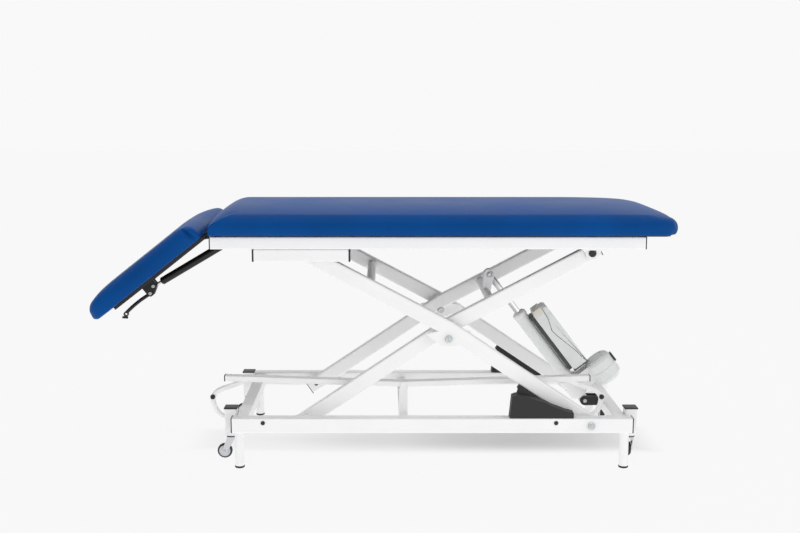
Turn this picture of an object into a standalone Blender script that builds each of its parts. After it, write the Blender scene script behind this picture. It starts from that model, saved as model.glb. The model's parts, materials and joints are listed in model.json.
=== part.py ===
"""Electric therapy couch: scissor lift base, padded top and a tilting head section.

Metres, +Z up, +X towards the foot end, -Y is the side that faces the viewer.
"""
import math

import bmesh
import bpy
from mathutils import Vector

# Moves the whole couch along X so that the middle of its box is at x=0
ORIGIN_SHIFT = 0.00837

# Clearances
FIT = 0.0003
RUNNING = 0.0003

# Base
LEG_TOP = 0.122
LEG_DIAMETER = 0.030
LEG_WALL = 0.002
LEG_LEFT_X = -0.4786
LEG_RIGHT_X = 0.7908
FOOT_DIAMETER = 0.033
FOOT_HEIGHT = 0.007
FOOT_PLUG = 0.020
RAIL_HEIGHT = 0.050
RAIL_WIDTH = 0.040
RAIL_WALL = 0.0025
RAIL_CENTRE_Y = 0.300
RAIL_LEFT = -0.500
RAIL_RIGHT = 0.813
BEAM_WIDTH = 0.040
BEAM_HEIGHT = 0.040
BEAM_WALL = 0.0025
MID_BEAM_SIZE = 0.030
MID_BEAM_WALL = 0.002

# Castors
POST_SIZE = 0.040
POST_WALL = 0.0025
POST_BOTTOM = 0.095
POST_HEIGHT = 0.091
POST_CAP = 0.004
POST_CAP_EDGE = 0.002
POST_LEFT_X = -0.5116
POST_RIGHT_X = 0.8214
POST_Y = 0.240
POST_FLOOR = 0.005
STEM_DIAMETER = 0.0108
RACE_DIAMETER = 0.034
RACE_HEIGHT = 0.009
WHEEL_DIAMETER = 0.050
WHEEL_WIDTH = 0.020
WHEEL_Z = 0.038
TRAIL = 0.024
AXLE_DIAMETER = 0.006
FORK_PLATE = 0.0025
FORK_SIDE_GAP = 0.0006

# Scissor lift
PIVOT_X = 0.678
ARM_HALF = 0.5448
REST_ANGLE = math.radians(31.0)
LOW_ANGLE = math.radians(13.0)
HIGH_ANGLE = math.radians(38.0)
APEX_RISE = 0.034
ARM_HEIGHT = 0.050
ARM_WIDTH = 0.030
ARM_WALL = 0.0025
ARM_END = 0.028
RAIL_TO_ARM = 0.008
ARM_TO_ARM = 0.006
ARM_TO_TOP_RAIL = 0.004
LUG_THICKNESS = 0.012
LUG_HALF_TOP = 0.075
LUG_HALF_BOTTOM = 0.026
LUG_DROP = 0.024
BOSS_DIAMETER = 0.034
BOLT_DIAMETER = 0.016
BOLT_HEAD_DIAMETER = 0.025
BOLT_HEAD = 0.008
SLIDE_PIN = 0.014
SLIDE_LENGTH = 0.050
SLOT_PLAY = 0.001
SLIDE_PLAY = 0.0008
SLOT_END = 0.004
CROSS_DIAMETER = 0.030
CROSS_WALL = 0.002
OUTER_CROSS_SHARE = 0.55

# Top frame
TOP_RAIL_LEFT = -0.559
TOP_RAIL_RIGHT = 0.837
TOP_RAIL_HEIGHT = 0.040
TOP_RAIL_WIDTH = 0.030
TOP_RAIL_WALL = 0.002
CHANNEL_LEFT = -0.420
CHANNEL_RIGHT = -0.1154
CHANNEL_HEIGHT = 0.040
CHANNEL_WALL = 0.0025
BRACKET_PLATE = 0.008
BRACKET_RADIUS = 0.022
BRACKET_HALF = 0.040
TOP_CROSS_WIDTH = 0.030
TOP_CROSS_LEFT_X = -0.537
TOP_CROSS_RIGHT_X = 0.805
DECK_THICKNESS = 0.003
DECK_LEFT = -0.545
DECK_RIGHT = 0.925
DECK_MARGIN = 0.025
CUSHION_WIDTH = 0.650
MAIN_LEFT = -0.562
MAIN_RIGHT = 0.953
MAIN_THICKNESS = 0.075
MAIN_CORNER_LEFT = 0.020
MAIN_CORNER_RIGHT = 0.075
CUSHION_EDGE = 0.034
CUSHION_SQUARE_END = 0.15
CUSHION_CROWN = 0.006
CUSHION_DRAW_IN = 0.007

# Head section
HEAD_HINGE_X = -0.570
HEAD_HINGE_RISE = 0.0135
HEAD_TILT = math.radians(-38.2)
HINGE_PIN = 0.010
HINGE_RADIUS = 0.010
HINGE_PLATE = 0.006
HINGE_Y = 0.200
PAN_LENGTH = 0.373
PAN_START = 0.012
PAN_MARGIN = 0.040
PAN_RISE = 0.004
PAN_FLANGE = 0.010
PAN_SHEET = 0.002
HEAD_LENGTH = 0.462
HEAD_START = 0.006
HEAD_THICKNESS = 0.066
HEAD_CORNER_TIP = 0.060
HEAD_CORNER_HINGE = 0.018
HEAD_BEVEL = 0.16
CLEVIS_PLATE = 0.006

# Gas spring and release lever
SPRING_TOP_X = -0.546
SPRING_TOP_DROP = 0.0165
SPRING_EYE_X = -0.313
SPRING_EYE_Z = -0.014
SPRING_DIAMETER = 0.027
SPRING_BODY_START = 0.026
SPRING_BODY_END = 0.274
SPRING_ROD = 0.010
SPRING_ROD_INSIDE = 0.110
SPRING_EYE_RADIUS = 0.010
SPRING_EYE_WIDTH = 0.014
SPRING_PIN = 0.008
LEVER_X = -0.338
LEVER_Z = -0.027
LEVER_LENGTH = 0.118
LEVER_DIAMETER = 0.013
LEVER_PIN = 0.005
LEVER_BOSS_RADIUS = 0.007

# Actuator
ACTUATOR_BACK = 0.1094
ROD_PIN_X = 0.366
ROD_PIN_Z = 0.600
ACTUATOR_EYE_WIDTH = 0.030
ACTUATOR_EYE_RADIUS = 0.017
ACTUATOR_PIN = 0.012
ACTUATOR_TUBE = 0.046
ACTUATOR_TUBE_END = 0.392
ACTUATOR_BORE_START = 0.100
ROD_DIAMETER = 0.022
ROD_INSIDE = 0.250
ROD_EYE_WIDTH = 0.024
LIFT_TUBE_SHIFT = -0.010
ROD_EYE_RADIUS = 0.016
GEAR_START = 0.022
GEAR_LENGTH = 0.085
GEAR_RADIUS = 0.033
MOTOR_START = 0.006
MOTOR_LENGTH = 0.090
MOTOR_RADIUS = 0.050
MOTOR_OFFSET = 0.120
BOX_START = 0.116
BOX_LENGTH = 0.254
BOX_GAP = 0.012
BOX_RIB_WIDTH = 0.024
BOX_HEIGHT = 0.058
BOX_WIDTH = 0.076
ACTUATOR_CHEEK = 0.006

# Foot control
FOOT_BAR_X = 0.0644
FOOT_BAR_Y = -0.170
FOOT_BAR_Z = 0.2514
FOOT_BAR_LEFT = 0.603
FOOT_BAR_RIGHT = 0.629
FOOT_BAR_RISE = 0.0195
FOOT_BAR_HEIGHT = 0.020
FOOT_BAR_WIDTH = 0.030
FOOT_BAR_WALL = 0.002
FOOT_BAR_PIN = 0.010
FOOT_POST_GAP = 0.005
LOOP_DIAMETER = 0.018
LOOP_REACH = 0.044
LOOP_DROP = 0.128

# Guards
GUARD_LEFT = 0.4104
GUARD_LENGTH = 0.2093
GUARD_HEIGHT = 0.0779
GUARD_WIDTH = 0.038
GUARD_SLOPE = ((1.0, 0.22), (0.873, 0.307), (0.684, 0.502), (0.557, 0.675), (0.322, 0.870), (0.103, 1.0),
               (0.033, 0.935))

SIDES = {"near": -1, "far": 1}

# Places worked out from the sizes above
RAIL_INNER_Y = RAIL_CENTRE_Y - RAIL_WIDTH / 2
OUTER_ARM_Y = RAIL_INNER_Y - RAIL_TO_ARM - ARM_WIDTH / 2
INNER_ARM_Y = OUTER_ARM_Y - ARM_WIDTH - ARM_TO_ARM
TOP_RAIL_INNER_Y = OUTER_ARM_Y + ARM_WIDTH / 2 + ARM_TO_TOP_RAIL
TOP_RAIL_Y = TOP_RAIL_INNER_Y + TOP_RAIL_WIDTH / 2
PIVOT_Z = LEG_TOP + RAIL_HEIGHT / 2
TOP_PIVOT_Z = PIVOT_Z + 2 * ARM_HALF * math.sin(REST_ANGLE)
CENTRE_X = PIVOT_X - ARM_HALF * math.cos(REST_ANGLE)
CENTRE_Z = PIVOT_Z + ARM_HALF * math.sin(REST_ANGLE)
SLIDE_X = PIVOT_X - 2 * ARM_HALF * math.cos(REST_ANGLE)
SLIDE_LOW_X = PIVOT_X - 2 * ARM_HALF * math.cos(LOW_ANGLE)
SLIDE_HIGH_X = PIVOT_X - 2 * ARM_HALF * math.cos(HIGH_ANGLE)
APEX_Z = CENTRE_Z + APEX_RISE
TOP_RAIL_BOTTOM = TOP_PIVOT_Z + CHANNEL_HEIGHT / 2 + FIT
TOP_RAIL_TOP = TOP_RAIL_BOTTOM + TOP_RAIL_HEIGHT
TOP_RAIL_Z = TOP_RAIL_BOTTOM + TOP_RAIL_HEIGHT / 2
DECK_BOTTOM = TOP_RAIL_TOP + FIT
CUSHION_BOTTOM = DECK_BOTTOM + DECK_THICKNESS + FIT
HEAD_HINGE_Z = TOP_RAIL_Z + HEAD_HINGE_RISE
SPRING_TOP_Z = TOP_RAIL_BOTTOM - SPRING_TOP_DROP
ACTUATOR_X = POST_RIGHT_X - ACTUATOR_BACK
DECK_HALF_WIDTH = CUSHION_WIDTH / 2 - DECK_MARGIN
PAN_HALF_WIDTH = CUSHION_WIDTH / 2 - PAN_MARGIN
SLIDE_BORE = SLIDE_PIN + 2 * RUNNING
BOLT_BORE = BOLT_DIAMETER + 2 * RUNNING


def clear_scene():
    for item in list(bpy.data.objects):
        bpy.data.objects.remove(item, do_unlink=True)


def paint(name, colour, roughness, metallic=0.0):
    material = bpy.data.materials.new(name)
    material.use_nodes = True
    shader = material.node_tree.nodes["Principled BSDF"]
    shader.inputs["Base Color"].default_value = (*colour, 1.0)
    shader.inputs["Roughness"].default_value = roughness
    shader.inputs["Metallic"].default_value = metallic
    return material


def body(name, place, tilt=0.0, turn=0.0):
    """An empty on a joint's axis, which carries the pieces of one moving body."""
    empty = bpy.data.objects.new(name, None)
    bpy.context.collection.objects.link(empty)
    empty.location = (place[0] + ORIGIN_SHIFT, place[1], place[2])
    empty.rotation_euler = (0.0, tilt, turn)
    return empty


def add_object(name, shape, owner, material=None, smooth=False):
    bmesh.ops.recalc_face_normals(shape, faces=shape.faces)
    mesh = bpy.data.meshes.new(name)
    shape.to_mesh(mesh)
    shape.free()
    mesh.polygons.foreach_set("use_smooth", [smooth] * len(mesh.polygons))
    item = bpy.data.objects.new(name, mesh)
    bpy.context.collection.objects.link(item)
    item.parent = owner
    if material:
        mesh.materials.append(material)
    return item


def combine(item, shape, operation):
    """Fuse a shape with an object, or cut it out, with an exact Boolean modifier."""
    count = len(item.modifiers)
    tool = add_object(f"{item.name}_tool_{count}", shape, item.parent)
    tool.hide_render = True
    tool.display_type = "WIRE"
    modifier = item.modifiers.new(f"{operation.lower()} {count}", "BOOLEAN")
    modifier.operation = operation
    modifier.solver = "EXACT"
    modifier.object = tool


def fuse(item, *shapes):
    for shape in shapes:
        combine(item, shape, "UNION")


def cut(item, *shapes):
    for shape in shapes:
        combine(item, shape, "DIFFERENCE")


def rounded_rectangle(width, height, radius, steps=2):
    """Points (a, b) of a rounded rectangle, counterclockwise."""
    points = []
    for corner in range(4):
        a = (width / 2 - radius) * (1 if corner in (0, 3) else -1)
        b = (height / 2 - radius) * (1 if corner in (0, 1) else -1)
        for step in range(steps + 1):
            angle = math.radians(90 * corner + 90 * step / steps)
            points.append((a + radius * math.cos(angle), b + radius * math.sin(angle)))
    return points


def loft(rings, closed_ends=True):
    """Skin rings of equal length one after another."""
    shape = bmesh.new()
    loops = [[shape.verts.new(point) for point in ring] for ring in rings]
    count = len(loops[0])
    for lower, upper in zip(loops, loops[1:]):
        for i in range(count):
            j = (i + 1) % count
            shape.faces.new((lower[i], lower[j], upper[j], upper[i]))
    if closed_ends:
        shape.faces.new(list(reversed(loops[0])))
        shape.faces.new(loops[-1])
    return shape


def hollow_loft(outer, inner):
    """A tube with open ends from matching outer and inner rings."""
    shape = bmesh.new()
    outside = [[shape.verts.new(point) for point in ring] for ring in outer]
    inside = [[shape.verts.new(point) for point in ring] for ring in inner]
    count = len(outside[0])
    for loops in (outside, inside):
        for lower, upper in zip(loops, loops[1:]):
            for i in range(count):
                j = (i + 1) % count
                shape.faces.new((lower[i], lower[j], upper[j], upper[i]))
    for end in (0, -1):
        for i in range(count):
            j = (i + 1) % count
            shape.faces.new((outside[end][i], outside[end][j], inside[end][j], inside[end][i]))
    return shape


def place_ring(points, centre, a_axis, b_axis):
    return [Vector(centre) + a * Vector(a_axis) + b * Vector(b_axis) for a, b in points]


def box_tube(start, end, a_axis, b_axis, width, height, wall, radius=0.004):
    """A straight rectangular tube. The width lies along a_axis and the height along b_axis."""
    outer = rounded_rectangle(width, height, radius)
    inner = rounded_rectangle(width - 2 * wall, height - 2 * wall, max(radius - wall, 0.0006))
    ends = (start, end)
    return hollow_loft(
        [place_ring(outer, point, a_axis, b_axis) for point in ends],
        [place_ring(inner, point, a_axis, b_axis) for point in ends],
    )


def box(x0, x1, y0, y1, z0, z1):
    corners = [(x0, y0), (x1, y0), (x1, y1), (x0, y1)]
    return loft([[(x, y, z) for x, y in corners] for z in (z0, z1)])


def prism(points, y0, y1):
    """A flat outline in X and Z, drawn out along Y."""
    return loft([[(x, y, z) for x, z in points] for y in (y0, y1)])


def circle(x, z, radius, count=16):
    return [
        (x + radius * math.cos(2 * math.pi * i / count), z + radius * math.sin(2 * math.pi * i / count))
        for i in range(count)
    ]


def pin(x, z, diameter, y0, y1, count=16):
    """A round bar or a drill along Y."""
    return prism(circle(x, z, diameter / 2, count), y0, y1)


def round_bar(start, end, diameter, count=16):
    """A round bar between two points of one XZ plane."""
    start, end = Vector(start), Vector(end)
    along = (end - start).normalized()
    across = along.cross(Vector((0, 1, 0)))
    ring = circle(0.0, 0.0, diameter / 2, count)
    return loft([place_ring(ring, point, (0, 1, 0), across) for point in (start, end)])


def turned(profile, count=16, axis="Z"):
    """Turn a profile of (radius, height) points about an axis. A closed profile leaves a bore."""
    shape = bmesh.new()
    order = {"Z": (0, 1, 2), "Y": (0, 2, 1), "X": (2, 0, 1)}[axis]
    closed = profile[0][0] > 0
    loops = []
    for radius, height in profile:
        if radius == 0:
            ring = [(0, 0, height)]
        else:
            ring = [(a, b, height) for a, b in circle(0.0, 0.0, radius, count)]
        loops.append([shape.verts.new([point[k] for k in order]) for point in ring])
    pairs = list(zip(loops, loops[1:]))
    if closed:
        pairs.append((loops[-1], loops[0]))
    for lower, upper in pairs:
        for i in range(count):
            j = (i + 1) % count
            corners = [loop[k % len(loop)] for loop, k in ((lower, i), (lower, j), (upper, j), (upper, i))]
            shape.faces.new(list(dict.fromkeys(corners)))
    return shape


def smooth_path(points, steps=3):
    """A Catmull-Rom curve through the points."""
    guides = [2 * points[0] - points[1], *points, 2 * points[-1] - points[-2]]
    path = []
    for a, b, c, d in zip(guides, guides[1:], guides[2:], guides[3:]):
        for i in range(steps):
            t = i / steps
            path.append(0.5 * (2 * b + (c - a) * t + (2 * a - 5 * b + 4 * c - d) * t**2
                               + (3 * b - a - 3 * c + d) * t**3))
    path.append(points[-1])
    return path


def bent_bar(points, diameter, count=10):
    """A round bar along a smooth path in one XZ plane."""
    path = smooth_path([Vector(point) for point in points])
    ring = circle(0.0, 0.0, diameter / 2, count)
    rings = []
    for i, point in enumerate(path):
        along = (path[min(i + 1, len(path) - 1)] - path[max(i - 1, 0)]).normalized()
        rings.append(place_ring(ring, point, (0, 1, 0), along.cross(Vector((0, 1, 0)))))
    return loft(rings)


def eye_plate(x, z, radius, base, y0, y1):
    """A plate with a round end about (x, z) and straight flanks down to two base points."""
    first, second = Vector(base[0]), Vector(base[1])
    centre = Vector((x, z))
    away = (centre - (first + second) / 2).normalized()
    side = Vector((away.y, -away.x))
    if (first - second).dot(side) < 0:
        first, second = second, first
    arc = []
    for i in range(9):
        angle = math.pi * i / 8
        arc.append(tuple(centre + radius * (math.cos(angle) * side + math.sin(angle) * away)))
    return prism([tuple(first), *arc, tuple(second)], y0, y1)


def span(side, low, high):
    """The two Y limits of a piece, given as distances from the middle plane."""
    return (side * low, side * high) if side > 0 else (side * high, side * low)


def make_base(paints):
    base = body("base", (0, 0, 0))
    for word, side in SIDES.items():
        make_rail(word, side, base, paints)
        for end, x in (("left", LEG_LEFT_X), ("right", LEG_RIGHT_X)):
            make_leg(f"{word}_{end}", (x, side * RAIL_CENTRE_Y, 0), paints)
        for end, x in (("left", POST_LEFT_X), ("right", POST_RIGHT_X)):
            make_post(f"{word}_{end}", (x, side * POST_Y, 0), paints)
        make_bolt(f"base_pivot_bolt_{word}", side, base, PIVOT_X, PIVOT_Z, BOLT_DIAMETER,
                  OUTER_ARM_Y - ARM_WIDTH / 2, RAIL_CENTRE_Y + RAIL_WIDTH / 2, paints["zinc"])
        make_guard(word, side, base, paints)
    make_end_beams(base, paints)
    make_middle_beam(base, paints)


def make_rail(word, side, base, paints):
    y = side * RAIL_CENTRE_Y
    shape = box_tube((RAIL_LEFT, y, PIVOT_Z), (RAIL_RIGHT, y, PIVOT_Z), (0, 1, 0), (0, 0, 1),
                     RAIL_WIDTH, RAIL_HEIGHT, RAIL_WALL)
    rail = add_object(f"base_rail_{word}", shape, base, paints["white"])
    reach = SLIDE_BORE / 2 + SLOT_END
    slot = SLIDE_PIN / 2 + SLOT_PLAY
    low, high = span(side, RAIL_INNER_Y - RAIL_WALL, RAIL_INNER_Y + 2 * RAIL_WALL)
    cut(rail, box(SLIDE_LOW_X - reach, SLIDE_HIGH_X + reach, low, high, PIVOT_Z - slot, PIVOT_Z + slot))
    low, high = span(side, RAIL_INNER_Y - RAIL_WALL, RAIL_CENTRE_Y + RAIL_WIDTH)
    cut(rail, pin(PIVOT_X, PIVOT_Z, BOLT_BORE, low, high))


def make_leg(name, place, paints):
    owner = body(f"leg_place_{name}", place)
    outer = LEG_DIAMETER / 2
    inner = outer - LEG_WALL
    low, high = FOOT_HEIGHT + FIT, LEG_TOP - FIT
    shape = turned([(inner, low), (outer, low), (outer, high), (inner, high)])
    add_object(f"leg_{name}", shape, owner, paints["white"], True)
    rim = FOOT_DIAMETER / 2
    plug = inner - FIT
    profile = [(0, 0), (rim - 0.003, 0), (rim - 0.0008, 0.0012), (rim, 0.004), (rim, FOOT_HEIGHT - 0.0015),
               (rim - 0.0015, FOOT_HEIGHT), (plug, FOOT_HEIGHT), (plug, FOOT_HEIGHT + FOOT_PLUG - 0.002),
               (plug - 0.002, FOOT_HEIGHT + FOOT_PLUG), (0, FOOT_HEIGHT + FOOT_PLUG)]
    add_object(f"rubber_foot_{name}", turned(profile), owner, paints["black"], True)


def make_post(name, place, paints):
    """A square castor post with a floor for the stem and a cap on top."""
    owner = body(f"post_place_{name}", place)
    outline = rounded_rectangle(POST_SIZE, POST_SIZE, 0.004)
    cap = rounded_rectangle(POST_SIZE + 2 * POST_CAP_EDGE, POST_SIZE + 2 * POST_CAP_EDGE, 0.006)
    crown = rounded_rectangle(POST_SIZE - 0.002, POST_SIZE - 0.002, 0.005)
    top = POST_BOTTOM + POST_HEIGHT
    levels = [(outline, POST_BOTTOM), (outline, top), (cap, top), (cap, top + POST_CAP * 0.6),
              (crown, top + POST_CAP)]
    shape = loft([[(a, b, z) for a, b in points] for points, z in levels])
    post = add_object(f"castor_post_{name}", shape, owner, paints["white"])
    half = POST_SIZE / 2 - POST_WALL
    cut(post, box(-half, half, -half, half, POST_BOTTOM + POST_FLOOR, top - POST_WALL))
    hole = STEM_DIAMETER / 2 + RUNNING
    low, high = POST_BOTTOM - 0.002, POST_BOTTOM + POST_FLOOR * 2
    drill = turned([(0, low), (hole, low), (hole, high), (0, high)])
    cut(post, drill)


def make_end_beams(base, paints):
    reach = RAIL_INNER_Y - FIT
    for end, x in (("left", POST_LEFT_X + POST_SIZE / 2 + FIT + BEAM_WIDTH / 2),
                   ("right", POST_RIGHT_X - POST_SIZE / 2 - FIT - BEAM_WIDTH / 2)):
        shape = box_tube((x, -reach, PIVOT_Z), (x, reach, PIVOT_Z), (1, 0, 0), (0, 0, 1),
                         BEAM_WIDTH, BEAM_HEIGHT, BEAM_WALL)
        beam = add_object(f"end_beam_{end}", shape, base, paints["white"])
    face = x - BEAM_WIDTH / 2 + BEAM_WALL / 2
    half = ACTUATOR_EYE_WIDTH / 2 + RUNNING
    for side in SIDES.values():
        low, high = span(side, half, half + ACTUATOR_CHEEK)
        base_points = ((face, PIVOT_Z - BEAM_HEIGHT * 0.4), (face, PIVOT_Z + BEAM_HEIGHT * 0.4))
        fuse(beam, eye_plate(ACTUATOR_X, PIVOT_Z, ACTUATOR_EYE_RADIUS, base_points, low, high))
    reach = half + ACTUATOR_CHEEK * 1.5
    fuse(beam, pin(ACTUATOR_X, PIVOT_Z, ACTUATOR_PIN, -reach, reach))


def make_middle_beam(base, paints):
    """The beam across the base with the post and the two cheeks that hold the foot bar."""
    reach = RAIL_INNER_Y - FIT
    z = LEG_TOP + MID_BEAM_SIZE / 2
    shape = box_tube((FOOT_BAR_X, -reach, z), (FOOT_BAR_X, reach, z), (1, 0, 0), (0, 0, 1),
                     MID_BEAM_SIZE, MID_BEAM_SIZE, MID_BEAM_WALL)
    beam = add_object("middle_beam", shape, base, paints["white"])
    half = FOOT_BAR_WIDTH / 2 + RUNNING
    sheet = 0.004
    low = z + MID_BEAM_SIZE / 2 - MID_BEAM_WALL / 2
    high = FOOT_BAR_Z - FOOT_BAR_HEIGHT / 2 - FOOT_POST_GAP
    wide = MID_BEAM_SIZE / 2 - 0.001
    fuse(beam, box(FOOT_BAR_X - wide, FOOT_BAR_X + wide, FOOT_BAR_Y - half - sheet, FOOT_BAR_Y + half + sheet,
                   low, high))
    for side in SIDES.values():
        y0, y1 = sorted((FOOT_BAR_Y + side * half, FOOT_BAR_Y + side * (half + sheet)))
        foot = ((FOOT_BAR_X - wide * 0.9, high - 0.004), (FOOT_BAR_X + wide * 0.9, high - 0.004))
        fuse(beam, eye_plate(FOOT_BAR_X, FOOT_BAR_Z, FOOT_BAR_HEIGHT / 2, foot, y0, y1))
    reach = half + sheet / 2
    fuse(beam, pin(FOOT_BAR_X, FOOT_BAR_Z, FOOT_BAR_PIN, FOOT_BAR_Y - reach, FOOT_BAR_Y + reach))


def make_guard(word, side, base, paints):
    """A moulded wedge on a base rail, which fills the angle below the outer arm."""
    low = LEG_TOP + RAIL_HEIGHT + FIT
    outline = [(GUARD_LEFT, low), (GUARD_LEFT + GUARD_LENGTH, low)]
    outline += [(GUARD_LEFT + a * GUARD_LENGTH, low + b * GUARD_HEIGHT) for a, b in GUARD_SLOPE]
    half = GUARD_WIDTH / 2
    shape = prism(outline, *span(side, RAIL_CENTRE_Y - half, RAIL_CENTRE_Y + half))
    add_object(f"guard_{word}", shape, base, paints["black"])


def make_bolt(name, side, owner, x, z, diameter, inside, outside, material):
    """A pivot bolt with a domed head outside and a nut inside, about (x, z) in its owner's frame."""
    head = BOLT_HEAD_DIAMETER / 2
    shaft = diameter / 2
    inner, outer = inside - FIT, outside + FIT
    profile = [(0, inner - BOLT_HEAD), (head * 0.85, inner - BOLT_HEAD), (head, inner - BOLT_HEAD * 0.7),
               (head, inner), (shaft, inner), (shaft, outer), (head, outer), (head, outer + BOLT_HEAD * 0.5),
               (head * 0.7, outer + BOLT_HEAD), (0, outer + BOLT_HEAD)]
    shape = turned([(radius, side * height) for radius, height in profile], 12, "Y")
    bmesh.ops.translate(shape, verts=shape.verts, vec=(x, 0, z))
    return add_object(name, shape, owner, material, True)


def arm_tube(start, apex, end, y):
    """A cranked rectangular tube through three points of an XZ plane, with a mitre at the apex."""
    start, apex, end = (Vector((x, y, z)) for x, z in (start, apex, end))
    first, second = (apex - start).normalized(), (end - apex).normalized()
    start, end = start - ARM_END * first, end + ARM_END * second
    across = Vector((0, 1, 0))
    bend = (first + second).normalized()
    stretch = 1 / bend.dot(first)
    frames = [(start, across.cross(first)), (apex, stretch * across.cross(bend)), (end, across.cross(second))]
    outer = rounded_rectangle(ARM_WIDTH, ARM_HEIGHT, 0.005)
    inner = rounded_rectangle(ARM_WIDTH - 2 * ARM_WALL, ARM_HEIGHT - 2 * ARM_WALL, 0.005 - ARM_WALL)
    return hollow_loft([place_ring(outer, p, across, up) for p, up in frames],
                       [place_ring(inner, p, across, up) for p, up in frames])


def lug_outline():
    """The trapezium below the bend of an arm, about the centre pivot."""
    return [(-LUG_HALF_TOP, APEX_RISE * 0.45), (-LUG_HALF_BOTTOM, -LUG_DROP), (LUG_HALF_BOTTOM, -LUG_DROP),
            (LUG_HALF_TOP, APEX_RISE * 0.45), (0.0, APEX_RISE)]


def make_outer_arms(paints):
    owner = body("outer_arms", (PIVOT_X, 0, PIVOT_Z))
    centre = (CENTRE_X - PIVOT_X, CENTRE_Z - PIVOT_Z)
    slide = (SLIDE_X - PIVOT_X, TOP_PIVOT_Z - PIVOT_Z)
    apex = (centre[0], centre[1] + APEX_RISE)
    inside = OUTER_ARM_Y - ARM_WIDTH / 2
    outside = OUTER_ARM_Y + ARM_WIDTH / 2
    for word, side in SIDES.items():
        shape = arm_tube(slide, apex, (0, 0), side * OUTER_ARM_Y)
        arm = add_object(f"outer_arm_{word}", shape, owner, paints["white"])
        lug = [(centre[0] + x, centre[1] + z) for x, z in lug_outline()]
        fuse(arm, prism(lug, *span(side, outside - LUG_THICKNESS, outside)))
        reach = span(side, inside - ARM_TO_ARM + FIT, outside - LUG_THICKNESS / 2)
        fuse(arm, pin(*centre, BOSS_DIAMETER, *reach))
        fuse(arm, pin(0, 0, BOSS_DIAMETER, *span(side, inside + ARM_WALL / 2, RAIL_INNER_Y - FIT)))
        fuse(arm, pin(*slide, BOSS_DIAMETER, *span(side, inside + ARM_WALL / 2, TOP_RAIL_INNER_Y - FIT)))
        far = span(side, inside - ARM_TO_ARM * 2, RAIL_CENTRE_Y)
        cut(arm, pin(0, 0, BOLT_BORE, *far), pin(*centre, BOLT_BORE, *far), pin(*slide, SLIDE_BORE, *far))
        make_bolt(f"centre_bolt_{word}", side, owner, *centre, BOLT_DIAMETER,
                  INNER_ARM_Y + ARM_WIDTH / 2 - LUG_THICKNESS, outside, paints["zinc"])
    share = OUTER_CROSS_SHARE
    x = apex[0] + share * (slide[0] - apex[0])
    z = apex[1] + share * (slide[1] - apex[1])
    add_object("outer_cross_tube", cross_tube(x, z, inside - FIT), owner, paints["white"], True)


def cross_tube(x, z, reach, diameter=CROSS_DIAMETER):
    outer, inner = diameter / 2, diameter / 2 - CROSS_WALL
    shape = turned([(inner, -reach), (outer, -reach), (outer, reach), (inner, reach)], 20, "Y")
    bmesh.ops.translate(shape, verts=shape.verts, vec=(x, 0, z))
    return shape


def make_inner_arms(paints):
    owner = body("inner_arms", (CENTRE_X, 0, CENTRE_Z))
    slide = (SLIDE_X - CENTRE_X, PIVOT_Z - CENTRE_Z)
    top = (PIVOT_X - CENTRE_X, TOP_PIVOT_Z - CENTRE_Z)
    apex = (0.0, APEX_RISE)
    inside = INNER_ARM_Y - ARM_WIDTH / 2
    outside = INNER_ARM_Y + ARM_WIDTH / 2
    for word, side in SIDES.items():
        shape = arm_tube(slide, apex, top, side * INNER_ARM_Y)
        arm = add_object(f"inner_arm_{word}", shape, owner, paints["white"])
        fuse(arm, prism(lug_outline(), *span(side, outside - LUG_THICKNESS, outside)))
        fuse(arm, pin(*slide, BOSS_DIAMETER, *span(side, inside + ARM_WALL / 2, RAIL_INNER_Y - FIT)))
        fuse(arm, pin(*top, BOSS_DIAMETER, *span(side, inside + ARM_WALL / 2, outside + ARM_TO_ARM - FIT)))
        far = span(side, inside - 0.01, RAIL_CENTRE_Y)
        cut(arm, pin(*slide, SLIDE_BORE, *far), pin(0, 0, BOLT_BORE, *far), pin(*top, SLIDE_BORE, *far))
        cut(arm, pin(0, 0, BOLT_HEAD_DIAMETER + 0.002, *span(side, inside - 0.01, outside - LUG_THICKNESS)))
    make_lift_tube(owner, top, inside, paints)


def make_lift_tube(owner, top, inside, paints):
    """The cross tube of the inner arms, with the two cheeks that take the actuator's rod."""
    share = (ROD_PIN_X + LIFT_TUBE_SHIFT - CENTRE_X) / top[0]
    x, z = share * top[0], APEX_RISE + share * (top[1] - APEX_RISE)
    tube = add_object("inner_cross_tube", cross_tube(x, z, inside - FIT), owner, paints["white"], True)
    half = ROD_EYE_WIDTH / 2 + RUNNING
    eye = (ROD_PIN_X - CENTRE_X, ROD_PIN_Z - CENTRE_Z)
    for side in SIDES.values():
        low, high = span(side, half, half + ACTUATOR_CHEEK)
        foot = ((x - CROSS_DIAMETER * 0.46, z), (x + CROSS_DIAMETER * 0.46, z))
        plate = eye_plate(*eye, ROD_EYE_RADIUS + 0.002, foot, low, high)
        reach = span(side, half + ACTUATOR_CHEEK / 2, half + ACTUATOR_CHEEK * 2)
        fuse(tube, plate, pin(*eye, ACTUATOR_PIN, *reach))
    cut(tube, pin(x, z, CROSS_DIAMETER - 2 * CROSS_WALL, -inside, inside))


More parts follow.
